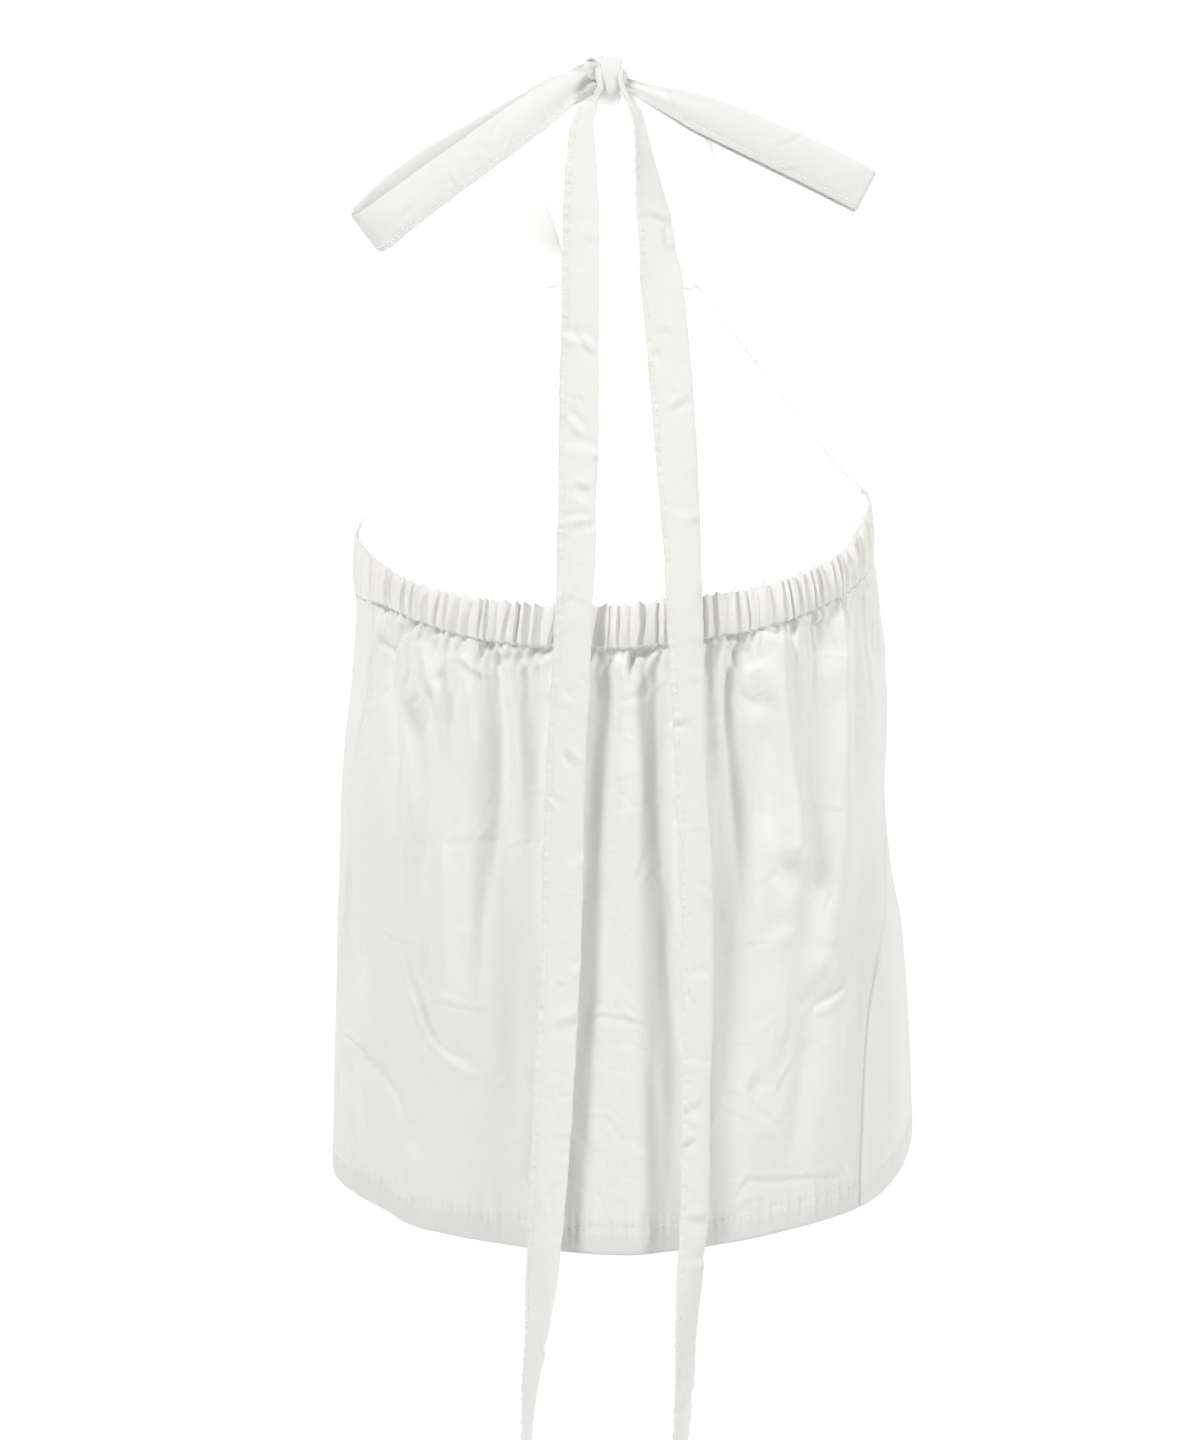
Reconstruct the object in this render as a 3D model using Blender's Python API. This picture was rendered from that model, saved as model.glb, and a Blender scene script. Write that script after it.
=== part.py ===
"""Sleeveless halter top in white cotton poplin, tied in a bow at the nape, in the form that it has when worn.

Frame: +Z up, the back of the garment faces -Y, and +X is to the right of someone who looks at the back.
The origin is at the nape, on the inner face of the knot. Angles run round the body from centre back:
0 at centre back, 90 at the +X side, 180 at centre front and -90 at the -X side.
"""
import math

import bpy
from mathutils import Vector

MM = 0.001

# Driving sizes, in millimetres
AXIS_Y = 62.0
CLOTH = 1.2
HEM_EXTRA = 0.6
SEAM_GAP = 0.3
SEAM_SIDE = 0.24
SEAM_RADIUS = 120.0
STRAP_THICK = 1.2
RUCHES = 72
CASING_LEFT = -93.6
CASING_RIGHT = 97.2
CASING_SWELL = 1.1
GATHER_SWELL = 1.0
GATHER_REACH = 34.0
FOLD_FREE = 12.0
HEM_WIDTH = 14.0
KNOT_CENTRE = (0.0, -9.5, 0.0)
KNOT_HALF = (11.5, 9.5, 13.5)
TAIL_CROWN = 0.8
CROWN_WIDTH = 12.0

# Shares of a fold's length over which it rises at the top and fades at its foot
FADE_TOP = 0.12
FADE_FOOT = 0.35
FRONT_FADE = 0.15

# Share of the front's width, at each side, over which its folds flatten towards the seam
FLAT_SIDE = 0.05

# In degrees: where the line across the bust ends, the gap between bib and casing, and how far the front
# reaches under the casing's left end
BUST_END = 264.0
BIB_GAP = 0.9
UNDER_CASING = 1.5
UNDERARM_Z = -300.0

# Nodes of the panels: the share of the way from top edge to hem of each row, and the columns
PANEL_DROPS = [0, 0.022, 0.05, 0.085, 0.125, 0.17, 0.225, 0.285, 0.35, 0.42, 0.50, 0.58, 0.66, 0.74,
               0.82, 0.90, 0.956, 0.9605, 1.0]
FINE_ONLY = (0.022, 0.085, 0.17)
FINE_ROWS = 8
FINE_SPACES = 124
FLAT_NODES = 2.0
SETTLING_TURNS = 8
BIB_RISES = (1.0, 0.93, 0.8, 0.64, 0.48, 0.32, 0.16)
BIB_COLUMNS = 38
SIDE_COLUMNS = 6

# Casing's section: share of the way down, height of the face, and share of the ruches' swell there
CASING_OUTER = [(0.0, 1.0, 0.3), (0.18, 2.8, 0.9), (0.5, 3.6, 1.0), (0.82, 2.7, 0.9), (1.0, 1.3, 0.4)]
CASING_INNER = [(1.0, -0.5), (0.5, -0.7), (0.0, -0.5)]

# Bow loops: roundness of the far bend. Knot: rings of its mesh, and how proud its wraps are
BEND_STEPS = 6
BEND_REACH = 1.15
KNOT_RINGS = 11
KNOT_AROUND = 22
WRAP_HEIGHT = 0.045
STRAP_FOOT_ACROSS = (1.0, -0.17)

# Poplin
BODY_COLOUR = (0.83, 0.84, 0.83)
CASING_COLOUR = (0.86, 0.85, 0.83)
TIE_COLOUR = (0.91, 0.91, 0.88)
ROUGHNESS = 0.85

# Body of the garment by height: half width, centre, and depth behind and in front of the body's axis
TORSO = [
    # z, half_width, centre_x, back_depth, front_depth
    (-60, 108, 0.0, 66, 56),
    (-110, 122, 0.0, 76, 69),
    (-170, 140, 0.0, 90, 86),
    (-240, 155, 0.5, 97, 101),
    (-280, 158, 0.9, 99, 106),
    (-317, 160, 3.0, 99, 108),
    (-354, 163.2, 3.6, 100, 109),
    (-390, 165.5, 1.8, 101, 109),
    (-427, 166.2, 0.0, 102, 110),
    (-464, 168.2, 1.2, 103, 111),
    (-500, 172, 3.8, 104, 113),
    (-537, 174, 5.1, 105, 115),
    (-610, 176.4, 5.8, 107, 119),
    (-700, 177, 5.8, 108, 121),
]

# Ruched casing round the back and under the arms: height of its upper and lower edge
BAND = [
    # angle, top, bottom
    (-96, -260, -296),
    (-78, -270.5, -304),
    (-62, -284, -309.5),
    (-48, -297, -319.5),
    (-30, -306.5, -331),
    (-12, -311, -336),
    (0, -310.5, -336.5),
    (15, -306, -331.5),
    (31, -299.5, -324.5),
    (46, -289, -313.5),
    (59, -277, -302.5),
    (76, -253, -287),
    (99, -236, -269),
]

# Lower edge of the casing's line, carried on round the front as the line across the bust
BUST = [
    # angle, z
    (99, -269),
    (125, -262),
    (180, -262),
    (235, -270),
    (264, -296),
]

# Upper edge of the front: armhole, shoulder corner, neckline, and the same on the other side
FRONT_TOP = [
    # angle, z
    (98, -236.5),
    (110, -225),
    (122, -201),
    (134, -168),
    (146, -130),
    (155, -106),
    (168, -106),
    (180, -113),
    (192, -106),
    (205, -106),
    (214, -130),
    (226, -170),
    (238, -208),
    (250, -236),
    (266, -259),
]

HEM = [
    # angle, z
    (-180, -612),
    (-140, -614),
    (-112, -630),
    (-85, -650),
    (-60, -664),
    (-40, -678),
    (-22, -684.5),
    (0, -689.3),
    (19, -683.7),
    (37, -675),
    (54, -666),
    (71, -648),
    (85, -629),
    (110, -616),
    (140, -612),
    (180, -612),
]

SIDE_SEAMS = [
    # z, left_angle, right_angle
    (-230, -68, 98),
    (-310, -68, 98),
    (-351, -68, 97),
    (-400, -71, 93),
    (-432, -73, 87),
    (-472, -75, 75),
    (-513, -77, 64),
    (-558, -79, 57),
    (-610, -81, 54),
    (-690, -84, 52),
]

# Folds of the back, by height: sideways place at the start, middle and end, half width, and height of relief
FOLDS = [
    # x_start, z_start, x_middle, x_end, z_end, half_width, height
    (-129, -345, -131, -130, -490, 9, -3.5),
    (-122, -325, -117, -103, -565, 9, 3.5),
    (-106, -322, -106, -107, -372, 8, 3.5),
    (-109, -355, -109, -107, -396, 6, -3.0),
    (-88, -325, -90, -92, -420, 9, 3.0),
    (-67, -328, -68, -79, -492, 8, -6.0),
    (-55, -330, -56, -54, -382, 8, 3.5),
    (-7, -330, -8, -18, -565, 8, -6.0),
    (10, -332, 12, 6, -530, 12, 3.5),
    (24, -330, 27, 31, -660, 9, -4.5),
    (62, -326, 58, 63, -415, 7, 3.0),
    (76, -322, 66, 76, -512, 8, -6.0),
    (85, -335, 85, 86, -368, 9, 3.0),
    (96, -325, 100, 100, -458, 9, 4.5),
    (113, -355, 113, 112, -420, 7, -3.0),
    (131, -303, 135, 117, -540, 10, 3.5),
    (143, -292, 144, 143, -455, 8, -3.0),
    (-157, -560, -135, -109, -640, 12, -2.5),
    (-60, -500, -62, -60, -700, 30, 2.0),
    (88, -540, 90, 90, -700, 26, 2.0),
]

# Folds of the front, which fall from the bust
FRONT_FOLDS = [
    # angle_start, z_start, angle_end, z_end, half_angle, height
    (112, -270, 108, -620, 5, -4.0),
    (124, -255, 122, -640, 5, 3.5),
    (136, -270, 134, -640, 5, -4.5),
    (150, -230, 149, -640, 6, 3.0),
    (164, -180, 163, -640, 5, -4.5),
    (177, -150, 178, -640, 6, 3.5),
    (191, -180, 193, -640, 5, -4.5),
    (206, -230, 208, -640, 6, 3.5),
    (219, -270, 221, -640, 5, -4.5),
    (233, -260, 236, -640, 5, 3.5),
    (246, -290, 249, -640, 5, -4.0),
]

# The two hanging ends of the tie, from the knot down
TAIL_LEFT = [
    # z, x, y, half_width, turn
    (-7.2, -7.2, -16.5, 3.2, -24),
    (-15, -14.6, -20.5, 4.8, -9),
    (-31, -18.9, -23, 7.3, -8),
    (-55, -19.2, -25.5, 9.4, -6),
    (-79, -19.2, -28, 10.5, -5),
    (-103, -19.4, -30.5, 10.9, -5),
    (-144, -19.7, -34, 11.1, -5),
    (-180, -20.3, -37, 11.7, -5),
    (-215, -20.5, -40, 12.0, -5),
    (-250, -21.4, -42.8, 11.3, -6),
    (-285, -22.0, -45.3, 11.7, -6),
    (-305, -22.8, -46.8, 11.0, -6),
    (-360, -25.5, -48.6, 11.4, -6),
    (-413, -28.3, -49.6, 11.6, -6),
    (-505, -30.7, -51, 12.0, -6),
    (-579, -34.3, -52, 11.9, -7),
    (-634, -37.2, -53, 11.4, -10),
    (-680, -40.1, -53.8, 10.6, -18),
    (-702, -41.9, -53.8, 10.6, -28),
    (-720, -43.6, -53.5, 10.8, -42),
    (-737, -45.1, -53.2, 11.2, -54),
    (-754, -47.4, -53, 11.6, -63),
    (-772, -49.4, -52.8, 12.0, -70),
    (-789, -50.3, -52.5, 12.2, -75),
    (-822, -51.5, -52.2, 12.4, -77),
]
TAIL_RIGHT = [
    # z, x, y, half_width, turn
    (-6.6, 6.5, -16.6, 3.4, 26),
    (-17, 12.0, -20.5, 5.6, 48),
    (-30, 15.8, -23, 8.0, 60),
    (-55, 19.3, -26, 10.0, 46),
    (-79, 23.1, -28.5, 11.3, 30),
    (-103, 26.0, -30.8, 11.8, 20),
    (-126, 28.6, -32.5, 12.6, 6),
    (-180, 33.5, -37, 12.8, 4),
    (-215, 36.1, -40, 12.6, 5),
    (-250, 38.3, -42.8, 12.1, 8),
    (-285, 40.3, -45.3, 11.2, 9),
    (-305, 40.9, -46.8, 11.1, 10),
    (-360, 43.0, -48.6, 10.0, 12),
    (-413, 44.8, -49.6, 9.6, 13),
    (-468, 47.6, -50.4, 10.1, 13),
    (-542, 48.9, -51.2, 9.4, 14),
    (-598, 47.9, -52, 8.5, 15),
    (-653, 47.3, -53, 8.8, 17),
    (-702, 44.1, -53.8, 8.5, 28),
    (-737, 41.8, -53.6, 9.0, 45),
    (-772, 40.6, -53.2, 10.0, 58),
    (-800, 38.6, -52.8, 10.8, 64),
    (-822, 37.6, -52.5, 11.2, 66),
]

# Bow loops, from the knot out: the front run's centre, and the back run behind it
LOOP_LEFT = [
    # x, z, half_width, y_front, y_back, back_rise
    (-12.9, 4.4, 3.8, -12.4, -6.8, 0.0),
    (-22, -1.0, 6.2, -14, -6.2, 1.0),
    (-36, -11.5, 9.5, -17, -6, 3.0),
    (-54, -25.4, 11.5, -21, -6, 5.0),
    (-79, -44, 12.2, -25, -8, 8.5),
    (-104, -62.6, 12.6, -27, -10, 11.0),
    (-126, -79, 13.0, -27.5, -13, 10.0),
    (-140, -89.6, 13.6, -26, -16, 6.5),
]
LOOP_RIGHT = [
    # x, z, half_width, y_front, y_back, back_rise
    (11.9, -3.7, 3.4, -12.6, -7.4, 0.0),
    (22, -8, 4.8, -14.5, -8.5, 0.0),
    (35, -13, 7.6, -17, -11, -0.5),
    (51.5, -20, 10.5, -19.4, -14, -1.0),
    (75, -30.5, 11.8, -21.4, -16.8, -1.3),
    (100, -42, 12.6, -22.6, -18.6, -1.5),
    (125, -54, 13.0, -23, -19.5, -1.5),
    (147, -65.6, 13.0, -22.8, -19.4, -1.0),
]

# Neck straps, from the front's upper corner round the side of the neck to the knot
NECK = [
    # x, y, z, out_x, out_y, out_z, half_width
    (38.6, 123.8, -105.85, 0.2, 0.96, 0.15, 12.2),
    (43, 120.5, -86, 0.4, 0.85, 0.3, 12.0),
    (50, 107, -62, 0.65, 0.6, 0.45, 11.5),
    (56, 86, -41, 0.88, 0.2, 0.42, 11.0),
    (59, 62, -27, 0.96, -0.1, 0.25, 10.0),
    (54, 38, -18.5, 0.86, -0.48, 0.15, 8.5),
    (41, 17.5, -13, 0.6, -0.8, 0.1, 6.5),
    (25, 5.5, -8, 0.35, -0.93, 0.05, 4.6),
    (8.8, -2.6, -2.5, 0.25, -0.96, 0.0, 3.2),
]


def table_curve(rows, column):
    """Smooth function through one column of a table whose first column is the argument."""
    rows = sorted(rows)
    xs = [row[0] for row in rows]
    ys = [row[column] for row in rows]
    last = len(rows) - 1
    steps = [(ys[i + 1] - ys[i]) / (xs[i + 1] - xs[i]) for i in range(last)]
    slopes = [steps[0]]
    for before, after in zip(steps, steps[1:]):
        turns = before * after <= 0
        slopes.append(0.0 if turns else 2 * before * after / (before + after))
    slopes.append(steps[-1])

    def value(x):
        x = min(max(x, xs[0]), xs[-1])
        i = 0
        while i < last - 1 and x > xs[i + 1]:
            i += 1
        width = xs[i + 1] - xs[i]
        t = (x - xs[i]) / width
        low = (1 + 2 * t) * (1 - t) ** 2 * ys[i] + t * (1 - t) ** 2 * width * slopes[i]
        high = t * t * (3 - 2 * t) * ys[i + 1] + t * t * (t - 1) * width * slopes[i + 1]
        return low + high

    return value


half_width_at = table_curve(TORSO, 1)
centre_at = table_curve(TORSO, 2)
back_depth_at = table_curve(TORSO, 3)
front_depth_at = table_curve(TORSO, 4)
band_top_at = table_curve(BAND, 1)
band_bottom_at = table_curve(BAND, 2)
bust_at = table_curve(BUST, 1)
front_top_at = table_curve(FRONT_TOP, 1)
hem_at = table_curve(HEM, 1)
seam_left_at = table_curve(SIDE_SEAMS, 1)
seam_right_at = table_curve(SIDE_SEAMS, 2)


def wrapped(angle):
    return (angle + 180.0) % 360.0 - 180.0


def body_point(angle, z):
    """Point on the smooth body of the garment, and the outward direction there."""
    turn = math.radians(angle)
    wide = half_width_at(z)
    deep = back_depth_at(z) if abs(wrapped(angle)) <= 90 else front_depth_at(z)
    point = Vector((centre_at(z) + wide * math.sin(turn), AXIS_Y - deep * math.cos(turn), z))
    out = Vector((math.sin(turn) / wide, -math.cos(turn) / deep, 0.0)).normalized()
    return point, out


def bell(distance, half_width):
    share = min(1.0, abs(distance) / (2.0 * half_width))
    return (0.5 + 0.5 * math.cos(math.pi * share)) if share < 1 else 0.0


def ends_fade(z, start, end):
    """1 along a fold that runs from start down to end, falling to 0 at both ends."""
    share = (start - z) / (start - end)
    if share <= 0 or share >= 1:
        return 0.0
    return min(1.0, share / FADE_TOP, (1 - share) / FADE_FOOT)


def back_relief(angle, z):
    x = body_point(angle, z)[0].x
    total = 0.0
    for x_start, z_start, x_middle, x_end, z_end, half, height in FOLDS:
        t = (z_start - z) / (z_start - z_end)
        if 0 < t < 1:
            centre = (1 - t) * (1 - 2 * t) * x_start + 4 * t * (1 - t) * x_middle + t * (2 * t - 1) * x_end
            total += height * bell(x - centre, half) * ends_fade(z, z_start, z_end)
    return total


def front_relief(angle, z):
    total = 0.0
    for a_start, z_start, a_end, z_end, half, height in FRONT_FOLDS:
        t = (z_start - z) / (z_start - z_end)
        if t > 0:
            centre = a_start + (a_end - a_start) * t
            total += height * bell(angle - centre, half) * min(1.0, t / FRONT_FADE)
    return total


def new_object(name, vertices, faces, colour, roughness):
    mesh = bpy.data.meshes.new(name)
    mesh.from_pydata([Vector(v) * MM for v in vertices], [], faces)
    material = bpy.data.materials.new(name)
    material.use_nodes = True
    shader = material.node_tree.nodes["Principled BSDF"]
    shader.inputs["Base Color"].default_value = (*colour, 1.0)
    shader.inputs["Roughness"].default_value = roughness
    shader.inputs["Metallic"].default_value = 0.0
    mesh.materials.append(material)
    mesh.shade_smooth()
    mesh.set_sharp_from_angle(angle=math.radians(50))
    thing = bpy.data.objects.new(name, mesh)
    bpy.context.collection.objects.link(thing)
    return thing


def strip(upper, lower):
    """Faces between two rows of nodes; the upper row may have twice as many spaces as the lower."""
    faces = []
    if len(upper) == len(lower):
        for k in range(len(upper) - 1):
            faces.append((upper[k], lower[k], lower[k + 1], upper[k + 1]))
        return faces
    for k in range(len(lower) - 1):
        a, b, c = upper[2 * k:2 * k + 3]
        faces += [(a, lower[k], b), (b, lower[k], lower[k + 1]), (b, lower[k + 1], c)]
    return faces


def cloth_wall(name, nodes, faces, colour, roughness):
    """Closed wall of cloth about a sheet of nodes (middle point, outward direction, thickness)."""
    count = len(nodes)
    triangles = []
    for face in faces:
        triangles.append(face[:3])
        if len(face) == 4:
            triangles.append((face[0], face[2], face[3]))
    vertices = [p + n * thick / 2 for p, n, thick in nodes]
    vertices += [p - n * thick / 2 for p, n, thick in nodes]
    solid = list(triangles)
    solid += [tuple(i + count for i in reversed(face)) for face in triangles]
    uses = {}
    for a, b, c in triangles:
        uses[(a, b)] = uses[(b, c)] = uses[(c, a)] = True
    for a, b in uses:
        if (b, a) not in uses:
            solid.append((b, a, a + count, b + count))
    return new_object(name, vertices, solid, colour, roughness)


def seam_turn(gap):
    """The angle that a gap in millimetres takes up near a side seam."""
    return math.degrees(gap / SEAM_RADIUS)


def panel_node(share, drop, top_at, left_at, right_at, relief_at):
    """Node of a panel: share runs from its left seam to its right one, drop from its top edge to the hem.

    The seams lean, so angle and height depend on each other: both settle in a few turns.
    """
    z = top_at(0.0)
    angle = 0.0
    for _ in range(SETTLING_TURNS):
        angle = left_at(z) + (right_at(z) - left_at(z)) * share
        z = top_at(angle) + (hem_at(wrapped(angle)) - top_at(angle)) * drop
    point, out = body_point(angle, z)
    return point, out, angle, z, relief_at(angle, z)


def hem_thickness(z, angle):
    hem_line = hem_at(wrapped(angle)) + HEM_WIDTH
    return CLOTH + (HEM_EXTRA if z < hem_line else 0.0)


def make_back_panel():
    gap = seam_turn(SEAM_SIDE)

    def top_at(angle):
        return band_bottom_at(angle) - SEAM_GAP

    def left_at(height):
        return seam_left_at(height) + gap

    def right_at(height):
        return seam_right_at(height) - gap

    nodes = []
    rows = []
    for number, drop in enumerate(PANEL_DROPS):
        spaces = FINE_SPACES if number < FINE_ROWS else FINE_SPACES // 2
        row = []
        for k in range(spaces + 1):
            share = k / spaces
            point, out, angle, z, relief = panel_node(share, drop, top_at, left_at, right_at, back_relief)
            below = band_bottom_at(angle) - z
            edge = min(1.0, k / FLAT_NODES, (spaces - k) / FLAT_NODES)
            if spaces == FINE_SPACES:
                fade = max(0.0, 1 - below / GATHER_REACH)
                gather = GATHER_SWELL * fade * (1 if k % 2 else -1)
                relief = relief * min(1.0, below / FOLD_FREE) + gather
            thick = hem_thickness(z, angle)
            row.append(len(nodes))
            nodes.append((point + out * (relief * edge + (thick - CLOTH) / 2), out, thick))
        rows.append(row)
    faces = []
    for upper, lower in zip(rows, rows[1:]):
        faces += strip(upper, lower)
    return cloth_wall("back_panel", nodes, faces, BODY_COLOUR, ROUGHNESS)


def front_edge_at(angle):
    """Line where the front's lower part begins: under the casing at the left side, then across the bust."""
    back_angle = wrapped(angle)
    if CASING_LEFT - UNDER_CASING < back_angle < BUST[0][0]:
        return band_bottom_at(back_angle) - SEAM_GAP
    return bust_at(min(angle, BUST_END)) - SEAM_GAP


def make_front_panel():
    """Front: a bib above the line across the bust, and the lower part from one side seam to the other."""
    nodes = []
    gap = seam_turn(SEAM_SIDE)

    def left_at(height):
        return seam_right_at(height) + gap

    def right_at(height):
        return seam_left_at(height) + 360.0 - gap

    start, end = left_at(UNDERARM_Z), right_at(UNDERARM_Z)
    bib_end = CASING_LEFT - BIB_GAP + 360.0
    bib_share = (bib_end - start) / (end - start)
    shares = [bib_share * k / BIB_COLUMNS for k in range(BIB_COLUMNS + 1)]
    shares += [bib_share + (1 - bib_share) * (k + 1) / SIDE_COLUMNS for k in range(SIDE_COLUMNS)]

    def front_node(share, drop):
        point, out, angle, z, relief = panel_node(share, drop, front_edge_at, left_at, right_at, front_relief)
        edge = min(1.0, share / FLAT_SIDE, (1 - share) / FLAT_SIDE)
        thick = hem_thickness(z, angle)
        return point + out * (relief * edge + (thick - CLOTH) / 2), out, thick

    bib_rows = []
    for rise in BIB_RISES:
        row = []
        for share in shares[:BIB_COLUMNS + 1]:
            angle = start + (end - start) * share
            low = front_edge_at(angle)
            z = low + (front_top_at(angle) - low) * rise
            point, out = body_point(angle, z)
            edge = min(1.0, share / FLAT_SIDE, max(0.0, (bib_share - share) / FLAT_SIDE))
            row.append(len(nodes))
            nodes.append((point + out * front_relief(angle, z) * edge, out, CLOTH))
        bib_rows.append(row)
    rows = []
    for drop in PANEL_DROPS:
        if drop in FINE_ONLY:
            continue
        row = []
        for share in shares:
            row.append(len(nodes))
            nodes.append(front_node(share, drop))
        rows.append(row)
    faces = []
    for upper, lower in zip(bib_rows, bib_rows[1:]):
        faces += strip(upper, lower)
    faces += strip(bib_rows[-1], rows[0][:BIB_COLUMNS + 1])
    for upper, lower in zip(rows, rows[1:]):
        faces += strip(upper, lower)
    return cloth_wall("front_panel", nodes, faces, BODY_COLOUR, ROUGHNESS)


def make_casing():
    """Elastic casing: one closed band, plain inside and ruched outside."""
    ring = len(CASING_OUTER) + len(CASING_INNER)
    columns = RUCHES * 2
    vertices = []
    for k in range(columns + 1):
        angle = CASING_LEFT + (CASING_RIGHT - CASING_LEFT) * k / columns
        top, bottom = band_top_at(angle), band_bottom_at(angle)
        swell = CASING_SWELL * (1 if k % 2 else -1)
        for share, proud, ruche in CASING_OUTER:
            point, out = body_point(angle, top + (bottom - top) * share)
            vertices.append(point + out * (proud + swell * ruche))
        for share, proud in CASING_INNER:
            point, out = body_point(angle, top + (bottom - top) * share)
            vertices.append(point + out * proud)
    faces = []
    for k in range(columns):
        for j in range(ring):
            here, there = k * ring + j, k * ring + (j + 1) % ring
            faces.append((here, there, there + ring, here + ring))
    faces.append(tuple(reversed(range(ring))))
    faces.append(tuple(columns * ring + j for j in range(ring)))
    return new_object("back_casing", vertices, faces, CASING_COLOUR, ROUGHNESS)


def ribbon(name, sections, spaces=4, crown=0.0):
    """Closed strap through sections (middle, direction across, outward direction, half width)."""
    nodes = []
    rows = []
    for middle, across, out, half in sections:
        row = []
        for k in range(spaces + 1):
            share = 2.0 * k / spaces - 1.0
            lift = crown * (1 - share * share) * half / CROWN_WIDTH
            row.append(len(nodes))
            nodes.append((middle + across * half * share + out * lift, out, STRAP_THICK))
        rows.append(row)
    faces = []
    for upper, lower in zip(rows, rows[1:]):
        faces += strip(upper, lower)
    return cloth_wall(name, nodes, faces, TIE_COLOUR, ROUGHNESS)


def make_tail(name, rows):
    sections = []
    for z, x, y, half, turn in rows:
        swing = math.radians(turn)
        across = Vector((math.cos(swing), math.sin(swing), 0.0))
        out = Vector((math.sin(swing), -math.cos(swing), 0.0))
        sections.append((Vector((x, y, z)), across, out, half))
    return ribbon(name, sections, crown=TAIL_CROWN)


def make_loop(name, rows):
    """Bow loop: the front run out from the knot, a round bend at the far end, and the back run home."""
    side = 1.0 if rows[-1][0] > 0 else -1.0
    front, back = [], []
    for i, (x, z, half, y_front, y_back, rise) in enumerate(rows):
        before, after = rows[max(i - 1, 0)], rows[min(i + 1, len(rows) - 1)]
        along = Vector((after[0] - before[0], 0.0, after[1] - before[1])).normalized()
        up = Vector((-along.z, 0.0, along.x)) * side
        middle = Vector((x, 0.0, z))
        front.append((middle + Vector((0, y_front, 0)), up, along, half))
        back.append((middle + up * rise + Vector((0, y_back, 0)), up, along, half))
    bend = []
    start, end = front[-1], back[-1]
    radius = (end[0].y - start[0].y) / 2
    centre = (start[0] + end[0]) / 2
    for step in range(1, BEND_STEPS):
        angle = math.pi * step / BEND_STEPS
        spot = centre + start[2] * radius * math.sin(angle) * BEND_REACH
        spot = spot + (start[0] - centre) * math.cos(angle)
        bend.append((spot, start[1], start[2], start[3]))
    run = front + bend + list(reversed(back))
    sections = []
    for i, (spot, up, along, half) in enumerate(run):
        tangent = (run[min(i + 1, len(run) - 1)][0] - run[max(i - 1, 0)][0]).normalized()
        across = up * side
        sections.append((spot, across, tangent.cross(across).normalized(), half))
    return ribbon(name, sections)


def make_neck_strap(name, side):
    sections = []
    spots = [Vector((side * row[0], row[1], row[2])) for row in NECK]
    for i, row in enumerate(NECK):
        tangent = (spots[min(i + 1, len(spots) - 1)] - spots[max(i - 1, 0)]).normalized()
        out = Vector((side * row[3], row[4], row[5]))
        out = (out - tangent * out.dot(tangent)).normalized()
        across = out.cross(tangent).normalized()
        sections.append((spots[i], across, out, row[6]))
    foot = Vector((STRAP_FOOT_ACROSS[0], side * STRAP_FOOT_ACROSS[1], 0.0)).normalized()
    sections[0] = (spots[0], foot, sections[0][2], NECK[0][6])
    return ribbon(name, sections)


def make_knot():
    """Round soft knot with slanting wraps of the strap raised on it."""
    rings, around = KNOT_RINGS, KNOT_AROUND
    vertices = [Vector((KNOT_CENTRE[0], KNOT_CENTRE[1], KNOT_CENTRE[2] + KNOT_HALF[2]))]
    for i in range(1, rings):
        tilt = math.pi * i / rings
        for j in range(around):
            turn = 2 * math.pi * j / around
            wrap = 1.0 + WRAP_HEIGHT * math.sin(6 * tilt + turn) * math.sin(tilt)
            vertices.append(Vector((
                KNOT_CENTRE[0] + KNOT_HALF[0] * math.sin(tilt) * math.cos(turn) * wrap,
                KNOT_CENTRE[1] + KNOT_HALF[1] * math.sin(tilt) * math.sin(turn) * min(1.0, wrap),
                KNOT_CENTRE[2] + KNOT_HALF[2] * math.cos(tilt))))
    vertices.append(Vector((KNOT_CENTRE[0], KNOT_CENTRE[1], KNOT_CENTRE[2] - KNOT_HALF[2])))
    faces = []
    last = len(vertices) - 1
    for j in range(around):
        k = (j + 1) % around
        faces.append((0, 1 + j, 1 + k))
        for i in range(rings - 2):
            a, b = 1 + i * around, 1 + (i + 1) * around
            faces.append((a + j, b + j, b + k, a + k))
        a = 1 + (rings - 2) * around
        faces.append((a + j, last, a + k))
    return new_object("knot", vertices, faces, TIE_COLOUR, ROUGHNESS)


def main():
    for thing in list(bpy.data.objects):
        bpy.data.objects.remove(thing, do_unlink=True)
    make_back_panel()
    make_front_panel()
    make_casing()
    make_knot()
    make_loop("bow_loop_left", LOOP_LEFT)
    make_loop("bow_loop_right", LOOP_RIGHT)
    make_tail("tie_tail_left", TAIL_LEFT)
    make_tail("tie_tail_right", TAIL_RIGHT)
    make_neck_strap("neck_strap_left", -1.0)
    make_neck_strap("neck_strap_right", 1.0)


main()
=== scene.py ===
"""Looks of the white poplin halter top: fine cloth shells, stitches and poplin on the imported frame.

The tables of sizes are those of the part, in millimetres, in the same frame: +Z up, the back faces -Y.
Angles run in degrees round the body from centre back, 0, to centre front, 180. Creases of the back are
placed by their place in the picture, in its pixels, through the camera's own projection. The stage is
in metres.
"""
import math

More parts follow.
